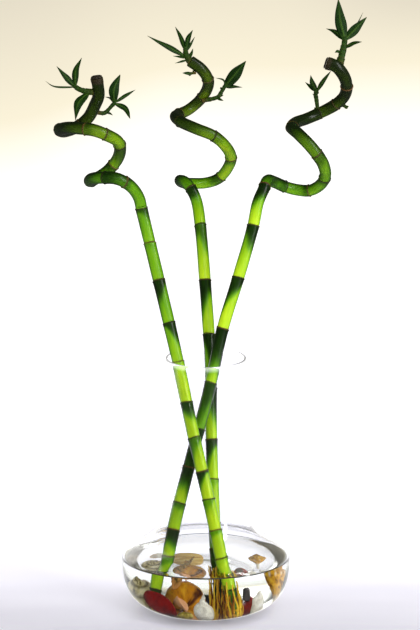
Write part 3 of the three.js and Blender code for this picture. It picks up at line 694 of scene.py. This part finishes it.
SHOOTS = {
    "shoot_left_upper": dict(
        stem=[(-112, 25, 522), (-121, 22, 522), (-128, 20, 524), (-134, 20, 528)], radii=(4.0, 2.2),
        blades=[
            ((-131, 20, 526), (-153, 14, 526), (-161, 12, 531), 2.2),
            ((-132, 20, 526), (-141, 13, 536), (-149, 10, 545), 6.2),
            ((-132, 21, 527), (-132, 26, 544), (-127, 34, 558), 6.8),
            ((-119, 22, 521), (-128, 11, 508), (-131, 12, 492), 9.5),
        ]),
    "shoot_left_side": dict(
        stem=[(-113, 42, 504), (-105, 46, 504), (-99, 48, 510), (-94, 48, 516)], radii=(2.4, 1.9),
        blades=[
            ((-95, 48, 514), (-95, 44, 527), (-89, 50, 544), 10),
            ((-94, 48, 515), (-84, 54, 523), (-74, 60, 530), 4),
            ((-95, 48, 514), (-84, 46, 509), (-78, 40, 497), 6),
            ((-104, 46, 505), (-99, 44, 503), (-96, 43, 501), 2.4),
            ((-95, 48, 514), (-100, 51, 520), (-105, 50, 521), 2.2),
        ]),
    "shoot_middle_tip": dict(
        stem=[(-15, 76, 560), (-20, 76, 567), (-22, 77, 574), (-22, 78, 579)], radii=(4.4, 2.2),
        blades=[
            ((-22, 76, 568), (-40, 66, 576), (-61, 56, 585), 6.6),
            ((-22, 77, 574), (-27, 82, 589), (-33, 86, 601), 4.8),
            ((-21, 77, 574), (-19, 75, 586), (-14, 70, 594), 5.6),
            ((-21, 78, 573), (-16, 84, 583), (-12, 88, 591), 2.8),
            ((-20, 77, 565), (-16, 83, 572), (-14, 86, 578), 4.2),
            ((-21, 75, 566), (-29, 68, 566), (-35, 65, 566), 3),
            ((-20, 75, 564), (-27, 70, 561), (-33, 68, 559), 2.6),
        ]),
    "shoot_middle_side": dict(
        stem=[(-4, 108, 526), (13, 106, 530), (17, 107, 536), (21, 108, 543)], radii=(2.5, 2.2),
        blades=[
            ((20, 108, 541), (31, 102, 553), (43, 98, 567), 12.8),
            ((20, 108, 541), (30, 116, 543), (40, 122, 543), 4.6),
            ((21, 108, 542), (19, 106, 548), (10, 103, 550), 2.2),
            ((11, 106, 529), (15, 104, 527), (19, 102, 525), 3),
            ((14, 107, 531), (17, 110, 532), (19, 112, 533), 2.6),
        ]),
    "scale_leaf_middle": dict(
        stem=[(-11, 79, 551), (-18, 77, 550)], radii=(1.6, 1.3),
        blades=[((-14, 78, 550), (-19, 76, 550), (-25, 74, 550), 3.8)]),
    "shoot_right_top": dict(
        stem=[(134, 17, 546), (137, 18, 558), (139, 18, 567), (140, 18, 576)], radii=(4.4, 2.8),
        blades=[
            ((140, 18, 573), (134, 12, 593), (132, 10, 611), 11),
            ((140, 18, 573), (152, 26, 586), (164, 34, 599), 9),
            ((139, 18, 573), (130, 28, 584), (123, 36, 588), 5.8),
            ((139, 18, 565), (148, 10, 568), (155, 4, 568), 4.8),
            ((140, 19, 574), (153, 32, 590), (161, 38, 605), 1.9),
            ((138, 18, 557), (133, 16, 561), (129, 12, 559), 3.4),
        ]),
    "shoot_right_side": dict(
        stem=[(118, 63, 505), (116, 60, 518), (115, 60, 526), (116, 60, 531)], radii=(2.1, 2.4),
        blades=[
            ((116, 60, 528), (111, 55, 536), (109, 54, 544), 6.2),
            ((116, 60, 528), (110, 66, 535), (105, 72, 540), 5.2),
            ((116, 60, 528), (122, 60, 538), (131, 62, 550), 4.6),
            ((116, 60, 521), (113, 57, 524), (111, 55, 525), 2.4),
        ]),
    "bud_right": dict(stem=[(139, 55, 515), (144, 56, 513), (148, 56, 510)], radii=(2.4, 1.6), blades=[]),
}
LEAF_KEYS = ("blade", "pale", "tint")


def add_blade(build, base, middle, tip, width, roll):
    """One closed thin blade, broadest below its middle, folded along the midrib and drawn out to a point."""
    rows, cols = 22, 9
    line = catmull([base, middle, tip], per=30)
    line = resample(line, np.linspace(0, distances(line)[-1], rows))
    length = distances(line)[-1]
    tangent = unit(np.gradient(line, axis=0))
    across = unit(np.cross(np.subtract(tip, base), (0, -1, 0.25)))
    face = unit(np.cross(tangent, across))
    across = np.cross(face, tangent)
    t = np.linspace(0, 1, rows)
    twist = roll * smoothstep(0, 1, t)[:, None]
    side = across * np.cos(twist) + face * np.sin(twist)
    face = face * np.cos(twist) - across * np.sin(twist)
    outline = np.sin(np.pi * (0.1 + 0.87 * t ** 0.85)) ** 1.15
    outline = np.maximum(outline, 0.16 * (1 - t) + 0.01)
    half = width / 2 * 1.03 * outline
    half = half * (1 + 0.03 * np.sin(11 * t + roll * 9))
    v = np.linspace(-1, 1, cols)
    fold = 0.26 * np.abs(v) - 0.1 * v ** 2
    wave = 0.05 * np.sin(9 * t + 3 * roll)[:, None] * v[None] ** 2
    lift = (fold[None] + wave) * half[:, None]
    thick = (0.24 * (1 - v ** 2) + 0.05)[None] * np.minimum(1, half / 0.8)[:, None]
    thick = thick + 0.22 * np.exp(-(v / 0.16) ** 2)[None] * (1 - t)[:, None]
    flat = line[:, None] + side[:, None] * (v[None, :, None] * half[:, None, None])
    top = flat + face[:, None] * (lift + 0.25 * thick)[..., None]
    bottom = flat + face[:, None] * (lift - 0.75 * thick)[..., None]
    loop = np.concatenate([top, bottom[:, ::-1][:, 1:-1]], axis=1)
    sides = loop.shape[1]
    verts = loop.reshape(-1, 3)
    verts = np.vstack([verts, loop[0].mean(0), line[-1]])
    vv = np.r_[v, v[::-1][1:-1]]
    blade = np.stack([np.broadcast_to(vv[None] * half[:, None], (rows, sides)),
                      np.broadcast_to(t[:, None] * length, (rows, sides)),
                      np.full((rows, sides), roll * 10)], axis=-1).reshape(-1, 3)
    blade = np.vstack([blade, blade[0], blade[-1]])
    pale = 0.5 * np.exp(-(np.abs(vv) / 0.12) ** 2)[None] * (1 - 0.7 * t)[:, None]
    pale = np.maximum(pale, 0.35 * (1 - smoothstep(0, 0.18, t))[:, None])
    tint = np.broadcast_to(0.5 * smoothstep(0.96, 1.0, t)[:, None], pale.shape)
    pale, tint = (np.r_[x.ravel(), x[0, 0], x[-1, 0]] for x in (pale, tint))
    build.add(verts, closed_faces(rows, sides), {"blade": blade, "pale": pale, "tint": tint})


def add_stem(build, points, radii):
    """Stem of overlapping sheaths: each flares a little and ends in a small step."""
    line = catmull(points, per=30)
    length = distances(line)[-1]
    stations = np.arange(0, length + 0.01, 0.35)
    line = resample(line, stations)
    t = stations / length
    r = radii[0] + (radii[1] - radii[0]) * t ** 0.8
    pitch = max(2.2, length / 7)
    part = (stations / pitch) % 1.0
    r = r * (0.93 + 0.11 * part)
    r = r * np.minimum(1, np.sqrt(np.clip((length - stations) / 1.2, 0.02, 1)))
    sides = 18
    a = around(sides)[None]
    rr = r[:, None] * (1 + 0.05 * np.sin(2 * a + np.floor(stations / pitch)[:, None] * 2.2))
    verts, faces, s_all, a_all = tube(line, rr, sides)
    blade = np.c_[radii[0] * a_all, s_all, a_all * 0]
    pale = 0.22 * (1 - part) * (1 - 0.6 * t) + 0.03
    tint = np.clip(0.7 * np.exp(-stations / 2.6) + 0.25 * smoothstep(0.86, 1.0, part), 0, 1)
    pale, tint = (np.r_[np.repeat(v, sides), v[0], v[-1]] for v in (pale, tint))
    build.add(verts, faces, {"blade": blade, "pale": pale, "tint": tint})


def add_bracts(build, points, radii, count, turn):
    """Short pointed scales that sit on the stem."""
    line = catmull(points, per=30)
    length = distances(line)[-1]
    for i in range(count):
        s = length * (0.22 + 0.6 * i / max(1, count - 1))
        at = resample(line, np.array([s]))[0]
        ahead = unit(resample(line, np.array([min(length, s + 0.5)]))[0] - at)
        side = unit(np.cross(ahead, (0.2, 0.5, 0.9)))
        up = np.cross(ahead, side)
        angle = turn + i * 2.4
        out = side * math.cos(angle) + up * math.sin(angle)
        r = radii[0] + (radii[1] - radii[0]) * s / length
        base = at + out * r * 0.8 - ahead * 0.6
        add_blade(build, base, base + out * 0.7 + ahead * 1.1, base + out * 1.5 + ahead * 2.4, 2.2, 0.1)


leaf_skin = leaf_material()
for index, (name, data) in enumerate(SHOOTS.items()):
    build = Build(LEAF_KEYS)
    add_stem(build, data["stem"], data["radii"])
    for i, blade in enumerate(data["blades"]):
        add_blade(build, *blade, roll=0.35 * math.sin(2.2 * i + index) + 0.1)
    add_bracts(build, data["stem"], data["radii"], 2 if data["blades"] else 3, 1.1 * index)
    finish_piece(build.done(name + "_leaves"), leaf_skin, name)


# Roots: a crown under each foot and many thin roots that wander up round the cane.

TUFTS = {
    "roots_left": dict(cane="cane_left", start=-3.4, sweep=5.2, reach=8.6, height=33, count=30),
    "roots_middle": dict(cane="cane_middle", start=0.6, sweep=4.6, reach=8.6, height=38, count=30),
    "roots_right": dict(cane="cane_right", start=-2.6, sweep=4.4, reach=8.0, height=13, count=16),
}


def add_strand(build, line, radius, sides, start, tone):
    """Adds one root. start is where it lies in the skin's grain."""
    verts, faces, s_all, a_all = tube(line, radius, sides)
    straight = np.c_[np.cos(a_all), np.sin(a_all), s_all + start]
    build.add(verts, faces, {"straight": straight, "tone": tone})


def root_piece(name, cane, start, sweep, reach, height, count, material):
    line = cane_lines[cane]
    foot, along = line[0], unit(line[4] - line[0])
    side = unit(np.array([1.0, 0, 0]) - along * along[0])
    up = np.cross(along, side)
    build = Build(("straight", "tone"))

    def at(radius, angle, level):
        return foot + along * level + radius * (side * math.cos(angle) + up * math.sin(angle))

    crown = np.array([(0, -1.5), (4.0, -1.5), (4.7, -1.2), (4.7, -0.7), (4.2, -0.3), (0, -0.3)])
    verts, faces = lathe(crown, 20)
    verts = foot + verts[:, :1] * side + verts[:, 1:2] * up + verts[:, 2:] * along
    build.add(verts, faces, {"straight": verts, "tone": 0.15})
    for i in range(count):
        angle = start + sweep * (i + 0.5) / count
        swing = angle + 0.5 * math.sin(5.1 * i)
        out = reach * (0.9 + 0.12 * math.sin(2.1 * i))
        top = height * (0.35 + 0.65 * ((i * 0.37) % 1))
        points = [
            at(2.8, angle, -1.2), at(6.0, angle, -1.2), at(7.0, angle + 0.1 * math.sin(i), 1.6),
            at(out, (angle + swing) / 2 + 0.12 * math.sin(3 * i), 0.35 * top + 1.5),
            at(out * (0.94 + 0.05 * math.sin(4 * i)), swing, 0.7 * top + 1.2),
            at(out * 0.96, swing + 0.12, top),
        ]
        root = catmull(points, per=12)
        s = distances(root)
        wander = np.c_[np.sin(s / 1.9 + i), np.cos(s / 2.3 + 2 * i), 0.4 * np.sin(s / 2.7)] * 0.25
        root = root + wander * smoothstep(4, 10, s)[:, None]
        r = 1.05 - 0.5 * (s / s[-1]) + 0.1 * np.sin(s * 2.1 + i)
        add_strand(build, root, r, 8, 17 * i, ((i * 0.61) % 1) ** 1.3)
    # Short thick golden roots close round the foot.
    for i in range(count // 3):
        angle = start + sweep * (i + 0.5) / (count // 3)
        root = catmull([
            at(2.5, angle, -1.2), at(5.6, angle, -0.8), at(7.4, angle + 0.2, 2.5), at(7.2, angle, 6.0),
            at(6.4, angle - 0.1, 9.0 + 2.5 * math.sin(3 * i)),
        ], per=12)
        s = distances(root)
        r = 1.5 - 0.8 * (s / s[-1]) + 0.12 * np.sin(1.7 * s + i)
        add_strand(build, root, r, 8, 31 * i, 0.7 + 0.3 * math.sin(2.0 * i))
    finish_piece(build.done(name + "_tuft"), material, name)


root_skin = root_material()
for name, data in TUFTS.items():
    root_piece(name, material=root_skin, **data)


# Thin pale aerial roots at the lower rings of the right cane.

def aerial_roots(name, cane, sites, material):
    build = Build(("straight", "tone"))
    line = cane_lines[cane]
    for k, (distance, turn, long) in enumerate(sites):
        at = resample(line, np.array([distance, distance + 1]))
        out = np.array([math.cos(turn), math.sin(turn), 0.0])
        base = at[0] + out * CANE_RADIUS * 0.97
        bend = np.array([0, 0, -1.0 if k % 2 else 0.6])
        points = [base, base + out * long * 0.4 + bend * 0.4, base + out * long * 0.8 + bend * long * 0.2,
                  base + out * long + bend * long * 0.45]
        hair = catmull(points, per=8)
        s = distances(hair)
        add_strand(build, hair, 0.3 - 0.16 * s / s[-1], 6, 9 * k, 0.9)
    finish_piece(build.done(name), material, None)


aerial_roots("aerial_roots_right", "cane_right", [
    (72, 3.3, 7), (71, 3.0, 9), (68, 3.5, 6), (64, 3.1, 8), (62, 3.6, 5), (74, 2.8, 6), (99.5, 3.2, 6),
    (107, 3.4, 4), (136, 3.2, 5), (60, 3.0, 7),
], root_skin)


# Shells and stones. Each form returns its vertices, faces and whorl coordinates, and how far each vertex is
# lip and how far it is shade: dark colour bands, and painted shade inside a spiral shell's aperture.

def stripe(value, centre, half):
    return np.exp(-(((value - centre) / half) ** 2))


def spiral_shell(turns, mouth, tip, coil, height, ribs, rib_depth, flare=0.0, straight=False, stripes=()):
    """A tube that winds down a cone and widens to its mouth. A stripe is an angle round it and a width."""
    steps, sides = int(turns * 44), 26
    t = np.linspace(0, 1, steps)
    angle = 2 * np.pi * turns * t
    if straight:
        size = (tip / mouth) ** (1 - t)
        radius, out, level = mouth * size, coil * size, height * (1 - size) / (1 - size[0])
    else:
        radius = tip + (mouth - tip) * t ** 1.6
        out, level = coil * t ** 1.3, height * (1 - t)
    centre = np.c_[out * np.cos(angle), out * np.sin(angle), level]
    radial = np.c_[np.cos(angle), np.sin(angle), 0 * angle]
    a = around(sides)
    rib = 1 + rib_depth * (np.abs(np.sin(angle * ribs))[:, None] * (0.6 + 0.4 * np.cos(a))[None] - 0.6)
    rim = 1 + flare * smoothstep(0.93, 1.0, t)[:, None] * (0.5 + 0.5 * np.cos(a))[None]
    r = radius[:, None] * rib * rim
    verts = centre[:, None] + r[..., None] * (
        np.cos(a)[None, :, None] * radial[:, None] + np.sin(a)[None, :, None] * np.array([0, 0, 1.0]))
    whorl = np.stack([np.broadcast_to(angle[:, None] * 1.6, r.shape), np.broadcast_to(a[None], r.shape),
                      np.zeros_like(r)], axis=-1).reshape(-1, 3)
    lip = np.repeat(smoothstep(0.955, 0.985, t), sides)
    bands = sum((stripe((a - at + np.pi) % (2 * np.pi), np.pi, half) for at, half in stripes), 0 * a)
    shade = np.tile(bands, steps)
    # The aperture: an inner wall that goes back into the whorl, painted darker towards its far end as shade.
    ahead = np.array([-math.sin(angle[-1]), math.cos(angle[-1]), 0])
    inner = [centre[-1] + ahead * depth * mouth + (verts[-1] - centre[-1]) * shrink
             for depth, shrink in ((0.03, 0.94), (-0.1, 0.85), (-0.38, 0.62), (-0.58, 0.3))]
    verts = np.vstack([verts.reshape(-1, 3), *inner])
    whorl = np.vstack([whorl, *[whorl[-sides:]] * 4])
    lip = np.r_[lip, np.repeat([1.0, 1.0, 0.6, 0.1], sides)]
    # Painted shade deepens down the aperture's inner wall.
    shade = np.r_[shade, np.repeat([0.0, 0.0, 0.4, 1.0], sides)]
    rings = steps + 4
    verts = np.vstack([verts, centre[0], centre[-1] - ahead * 0.6 * mouth])
    whorl = np.vstack([whorl, whorl[0], whorl[-1]])
    faces = [f[::-1] for f in closed_faces(rings, sides)]
    return verts, faces, whorl, np.r_[lip, 0, 0], np.r_[shade, 0, 1]


def canal_shell(length, radius):
    """A knobbed shell on its long narrow canal, with fine spiral grooves, knobs and a stepped spire."""
    outline = catmull([
        (1.0, 0.01 * length), (1.25, 0.04 * length), (1.6, 0.27 * length), (0.34 * radius, 0.38 * length),
        (0.73 * radius, 0.54 * length), (0.93 * radius, 0.66 * length), (0.95 * radius, 0.71 * length),
        (0.88 * radius, 0.755 * length), (0.6 * radius, 0.8 * length), (0.56 * radius, 0.835 * length),
        (0.5 * radius, 0.87 * length), (0.34 * radius, 0.895 * length), (0.29 * radius, 0.93 * length),
        (0.15 * radius, 0.955 * length), (0.06 * radius, 0.995 * length),
    ], per=8)
    outline[:, 0] += 0.014 * radius * np.sin(outline[:, 1] * 5.2) * (outline[:, 1] < 0.68 * length)
    verts, faces = lathe(np.vstack([(0, 0), outline, (0, length)]), 72)
    angle = np.arctan2(verts[:, 1], verts[:, 0])
    level = verts[:, 2] / length
    knob = stripe(level, 0.715, 0.035) * np.clip(np.sin(10 * angle), 0, 1) ** 1.5
    small = stripe(level, 0.85, 0.02) * np.clip(np.sin(10 * angle + 1), 0, 1) ** 1.5
    verts[:, :2] *= (1 + 0.07 * knob + 0.05 * small)[:, None]
    verts[:, 2] += 0.9 * knob
    slit = stripe(angle - 0.5 * level, 1.9, 0.1) * (level > 0.3) * (level < 0.68)
    verts[:, :2] *= (1 - 0.1 * slit)[:, None]
    whorl = np.c_[2.2 * angle, 0.35 * verts[:, 2], 1.5 * np.sin(angle)]
    shade = 0.6 * stripe(level, 0.775, 0.02) + 0.9 * smoothstep(0.88, 0.95, level)
    lip = 0.9 * knob + 0.6 * small + smoothstep(0.4, 0.34, level)
    return verts, faces, whorl, np.clip(lip, 0, 1), np.clip(shade, 0, 1)


def pebble(length, width, height, point, square=0.0, ribs=0, rib_depth=0.0, rough=1.0):
    rows, sides = 36, 44
    polar = np.linspace(0, np.pi, rows + 2)[1:-1]
    a = around(sides)
    x = np.repeat(np.cos(polar)[:, None], sides, axis=1)
    y = np.sin(polar)[:, None] * np.cos(a)[None]
    z = np.sin(polar)[:, None] * np.sin(a)[None]
    verts = np.stack([x, y, z], axis=-1).reshape(-1, 3)
    verts = np.vstack([verts, [1, 0, 0], [-1, 0, 0]])
    narrow = 1 - point * np.maximum(0, verts[:, 0]) ** 2
    bumps = 1 + rough * (
        0.02 * np.sin(4 * verts[:, 0] + 2 * verts[:, 1]) + 0.015 * np.sin(7 * verts[:, 2] + 3 * verts[:, 0]))
    bumps = bumps - rib_depth * np.abs(np.sin(ribs * np.arctan2(verts[:, 2], verts[:, 1])))
    along = verts[:, 0].copy()
    verts = np.sign(verts) * np.abs(verts) ** (1 - square)
    size = np.c_[np.full(len(verts), length / 2), width / 2 * narrow, height / 2 * narrow]
    verts = verts * size * bumps[:, None]
    rings = stripe((along * 3.2) % 1.0, 0.5, 0.16) if ribs else 0 * along
    faces = [f[::-1] for f in closed_faces(rows, sides)]
    return verts, faces, verts / 4, np.zeros(len(verts)), 0.6 * rings


def settle(name, form, tilt, turn, material):
    """Turns the piece as its solid is turned and fits it into the box that the solid fills."""
    verts, faces, whorl, lip, shade = form
    turn_matrix = Matrix.Rotation(math.radians(turn), 3, "Z") @ Matrix.Rotation(math.radians(tilt), 3, "Y")
    verts = verts @ np.array(turn_matrix).T
    lo, hi = (np.array(c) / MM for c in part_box(name))
    mine_lo, mine_hi = verts.min(0), verts.max(0)
    scale = min(1.0, float(((hi - lo) / (mine_hi - mine_lo)).min()) * 1.04)
    verts = (verts - (mine_lo + mine_hi) / 2) * scale + (lo + hi) / 2
    verts[:, 2] += lo[2] - verts[:, 2].min()
    obj = make_object(name + "_shape", verts, faces, {"whorl": whorl, "lip": lip, "shade": shade})
    return finish_piece(obj, material, name)


PALE_LIP = (0.8, 0.62, 0.45)
amber = shell_material(
    "shell_amber", (0.075, 0.018, 0.002), (0.58, 0.22, 0.006), (0.8, 0.42, 0.018), (0.7, 0.35, 1),
    (0.8, 0.42, 0.22))
golden = shell_material(
    "shell_golden", (0.34, 0.14, 0.008), (0.82, 0.4, 0.01), (0.95, 0.58, 0.03), (0.8, 0.9, 1),
    (0.92, 0.84, 0.66), spots=0.06)
tan = shell_material(
    "shell_tan", (0.6, 0.32, 0.05), (0.86, 0.54, 0.12), (0.95, 0.72, 0.24), (1.4, 0.25, 0.25), PALE_LIP,
    0.3, 0.2)
striped = shell_material(
    "shell_striped", (0.020, 0.008, 0.003), (0.34, 0.16, 0.02), (0.7, 0.44, 0.08), (2.2, 0.5, 1),
    (0.45, 0.2, 0.05))
cream = shell_material(
    "shell_cream", (0.66, 0.62, 0.52), (0.86, 0.82, 0.7), (0.95, 0.93, 0.86), (1.0, 0.9, 1), PALE_LIP,
    0.25, 0.1)
olive = shell_material(
    "shell_olive", (0.1, 0.075, 0.015), (0.66, 0.56, 0.26), (0.88, 0.8, 0.5), (0.8, 1.4, 1), PALE_LIP,
    0.3, 0.25)
yellow = shell_material(
    "shell_yellow", (0.2, 0.14, 0.015), (0.42, 0.32, 0.04), (0.64, 0.52, 0.12), (1.2, 0.9, 1.1), PALE_LIP,
    0.35, 0.2)
dark_red = stone_material("stone_red", (0.07, 0.001, 0.001), (0.27, 0.006, 0.004))
warm_red = stone_material("stone_warm_red", (0.18, 0.008, 0.004), (0.44, 0.03, 0.012))
purple = stone_material("stone_dark", (0.025, 0.022, 0.024), (0.09, 0.08, 0.075))

whelk_form = spiral_shell(2.9, 15.2, 1.8, 4.8, 36, 5, 0.03, 0.05, stripes=((2.1, 0.35), (3.2, 0.4)))
settle("shell_whelk", whelk_form, 80, 94, amber)
turret_form = spiral_shell(8, 4.9, 0.5, 1.6, 43, 9, 0.05, straight=True, stripes=((1.1, 0.35), (5.3, 0.3)))
settle("shell_turret", turret_form, 79, 67, striped)
settle("shell_fan", pebble(44, 34, 11, 0, ribs=14, rib_depth=0.02), 0, 100, tan)
settle("shell_knobbed", canal_shell(42, 9.2), 9, 95, golden)
snail_form = spiral_shell(2.3, 8.5, 1.6, 3, 16, 3, 0.01, 0.1, stripes=((2.3, 0.25),))
settle("shell_snail", snail_form, 10, 300, cream)
settle("shell_cockle", pebble(17, 11, 9, 0.2, ribs=9, rib_depth=0.05), 10, 160, yellow)
settle("shell_curl", spiral_shell(1.5, 5.4, 1.6, 4, 6, 6, 0.04), 20, 10, cream)
settle("shell_fragment", pebble(13, 6, 23, 0.2, rough=4), 0, 25, cream)
turban_stripes = ((2.0, 0.18), (1.2, 0.1), (0.5, 0.08))
turban_form = spiral_shell(1.9, 13.5, 5, 4.2, 14, 4, 0.02, 0.05, stripes=turban_stripes)
settle("shell_turban", turban_form, -14, 80, olive)
settle("stone_red_left", pebble(37, 9.5, 19, 0.25), 20, -34, dark_red)
settle("stone_red_right", pebble(25, 14, 20, 0.3), 0, 100, warm_red)
settle("stone_dark", pebble(6, 5.5, 9.5, 0, 0.5), 0, 20, purple)


# Floor, light and surroundings

def floor_piece():
    mesh = bpy.data.meshes.new("floor")
    n, rings = 96, (0.0, 0.4, 1.0, 3.0, 9.0)
    verts = [(0, 0, 0)]
    faces = []
    for r in rings[1:]:
        verts += [(r * math.cos(2 * math.pi * j / n), r * math.sin(2 * math.pi * j / n), 0) for j in range(n)]
    for j in range(n):
        faces.append((0, 1 + j, 1 + (j + 1) % n))
    for i in range(len(rings) - 2):
        for j in range(n):
            a, b = 1 + i * n + j, 1 + i * n + (j + 1) % n
            faces.append((a, a + n, b + n, b))
    mesh.from_pydata(verts, [], faces)
    obj = bpy.data.objects.new("floor", mesh)
    bpy.context.collection.objects.link(obj)
    m = Shader("floor_paper")
    where = m.object_coords()
    grain = m.noise(m.stretch(where, (2.0, 9.0, 1.0)), 3.0, 3)
    depth = m.node("SeparateXYZ", {"Vector": where}).outputs["Y"]
    # Glass mirrors the floor in front of it dimly, as it does the studio.
    path = m.node("LightPath").outputs
    mirrored = m.times(path["Glossy Depth"], m.math("LESS_THAN", path["Ray Depth"], 7.5), clamp=True)
    from_foot = m.node("VectorMath", {0: where}, operation="LENGTH").outputs["Value"]
    outside = m.times(m.span(from_foot, 0.045, 0.065, 0.0, 0.9), m.span(depth, 0.0, 0.08, 1.0, 0.0))
    dim = m.times(mirrored, outside)
    # The bowl shades the floor round its foot.
    contact = m.times(m.span(from_foot, 0.030, 0.042), m.span(from_foot, 0.045, 0.078, 0.42, 0.0))
    shaded = m.math("MAXIMUM", dim, contact)
    paper = m.ramp(grain, [(0.3, (0.78, 0.77, 0.86)), (0.7, (0.86, 0.85, 0.94))])
    m.link(m.mix(shaded, paper, (0.0, 0.0, 0.0)), "Base Color")
    m.set(Roughness=0.9, Specular_IOR_Level=0.1, Emission_Color=(0.97, 0.95, 1.05))
    # The back of the floor glows up to white, and so does the light that the bowl gathers under itself.
    far = m.add(m.span(depth, -0.08, 0.2, 0.18, 0.62), m.span(depth, 0.2, 0.6, 0.0, 0.5))
    reach = m.node("VectorMath", {0: where, 1: (0, 0.03, 0)}, operation="DISTANCE").outputs["Value"]
    glow = m.add(far, m.span(reach, 0.045, 0.075, 0.6, 0.0))
    undisturbed = m.math("SUBTRACT", 1.0, path["Diffuse Depth"], clamp=True)
    through = m.times(path["Is Transmission Ray"], undisturbed)
    glow = m.add(glow, m.times(through, m.span(reach, 0.12, 0.2, 0.28, 0.0)))
    m.link(m.times(glow, m.math("SUBTRACT", 1.0, shaded)), "Emission Strength")
    mesh.materials.append(m.mat)
    obj.visible_glossy = False


floor_piece()

world = bpy.data.worlds.new("studio")
bpy.context.scene.world = world
world.use_nodes = True
w = Nodes(world.node_tree)
w.tree.nodes.clear()
# The direction in which a ray leaves: to the right, to the back and up.
right, back, up = w.node("SeparateXYZ", {"Vector": w.node("TexCoord").outputs["Generated"]}).outputs


def limited(operation, a, b):
    return w.math(operation, a, b, clamp=True)


def both(a, b):
    return limited("MULTIPLY", a, b)


# The wall behind is creamier up high, lower down on the left, and at its upper corners.
left_shift = w.span(right, -0.02, -0.21, 0.0, 0.055)
right_shift = w.times(w.span(right, 0.05, 0.2, 0.0, 0.06), w.span(up, 0.18, 0.25))
wall_height = w.add(w.add(up, left_shift), right_shift)
height_tone = w.ramp(w.span(wall_height, -0.1, 0.9, kind="LINEAR"), [
    (0.0, (1.0, 1.0, 1.0)), (0.205, (1.0, 1.0, 0.97)), (0.285, (0.78, 0.72, 0.56)),
    (0.4, (0.62, 0.57, 0.46)), (0.65, (0.3, 0.29, 0.27)), (1.0, (0.22, 0.22, 0.22)),
], "LINEAR")
depth_tone = w.ramp(w.span(back, -1.0, 1.0, kind="LINEAR"), [
    (0.0, (0.09, 0.09, 0.1)), (0.3, (0.2, 0.2, 0.21)), (0.5, (0.5, 0.5, 0.5)),
    (0.64, (0.95, 0.95, 0.95)), (0.72, (1.0, 1.0, 1.0)), (1.0, (1.0, 1.0, 1.0)),
], "LINEAR")
studio = w.mix(1.0, height_tone, depth_tone, "MULTIPLY")

# Skins mirror a dimmer studio and keep clear of haze, and so does glass except towards the bright back.
path = w.node("LightPath").outputs
sharp = path["Is Singular Ray"]
shallow = limited("LESS_THAN", path["Ray Depth"], 7.5)
inside = limited("GREATER_THAN", path["Ray Depth"], 4.5)
undisturbed = limited("SUBTRACT", 1.0, path["Diffuse Depth"])
through = both(both(sharp, path["Is Transmission Ray"]), undisturbed)
sharp_mirror = both(sharp, path["Glossy Depth"])
soft_gloss = limited("SUBTRACT", path["Is Glossy Ray"], sharp)
skyward = both(w.span(up, 0.1, 0.24), 0.45)
towards_back = both(w.span(back, 0.25, 0.6), w.span(up, -0.7, -0.4))
towards_back = limited("SUBTRACT", towards_back, both(skyward, shallow))
# The window stands at the left, so light from there comes brighter through the glass.
from_left = both(w.span(right, -0.1, -0.26), w.span(up, 0.08, 0.2))
turned_inside = both(inside, both(sharp_mirror, w.span(back, 0.1, 0.35)))
in_mirror = limited("MAXIMUM", both(sharp_mirror, w.span(back, 0.3, 0.6)), turned_inside)
to_front = limited("SUBTRACT", limited("SUBTRACT", 1.0, towards_back), both(from_left, turned_inside))
from_left = both(from_left, limited("ADD", through, in_mirror))
dimmed = limited("MAXIMUM", soft_gloss, both(sharp_mirror, to_front))
# What is seen straight through glass and water is brighter at the sides.
colour = w.mix(both(through, 0.45), studio, height_tone)
# Light that the bowl's wall has turned round several times comes out paler.
colour = w.mix(both(limited("SUBTRACT", sharp, shallow), 0.45), colour, (0.86, 0.85, 0.82))
colour = w.mix(from_left, colour, (1.0, 0.98, 0.95))
strength = w.span(from_left, 0.0, 1.0, 1.25, 2.6, "LINEAR")
strength = w.span(dimmed, 0.0, 1.0, strength, 0.12, "LINEAR")
background = w.node("Background", {"Color": colour, "Strength": strength})
w.node("OutputWorld", {"Surface": background.outputs[0]})


def softbox(name, location, target, size, energy, mirrored=True, colour=(1, 1, 1)):
    light = bpy.data.lights.new(name, "AREA")
    light.shape = "RECTANGLE"
    light.size, light.size_y = size
    light.energy = energy
    light.color = colour
    obj = bpy.data.objects.new(name, light)
    obj.location = location
    obj.rotation_euler = (Vector(target) - Vector(location)).to_track_quat("-Z", "Y").to_euler()
    obj.visible_camera = False
    obj.visible_glossy = mirrored
    obj.visible_transmission = mirrored
    bpy.context.collection.objects.link(obj)


softbox("window_right", (1.1, -0.75, 0.75), (0, 0, 0.25), (0.2, 1.3), 9)
softbox("key_front", (0.5, -1.9, 1.2), (0, 0, 0.25), (1.6, 1.6), 30, mirrored=False)
softbox("fill_left", (-1.5, -1.1, 0.7), (0, 0, 0.25), (1.0, 1.2), 8, mirrored=False)

# Three small panes far behind, mirrored by the water as small bright squares.
for pane, (x, z, width, height) in enumerate(((0.038, 0.824, 0.019, 0.034), (0.064, 0.828, 0.019, 0.030),
                                              (0.082, 0.752, 0.022, 0.018))):
    softbox("pane_%d" % pane, (x, 2.6, z), (0, 0, 0.05), (width, height), 0.03)
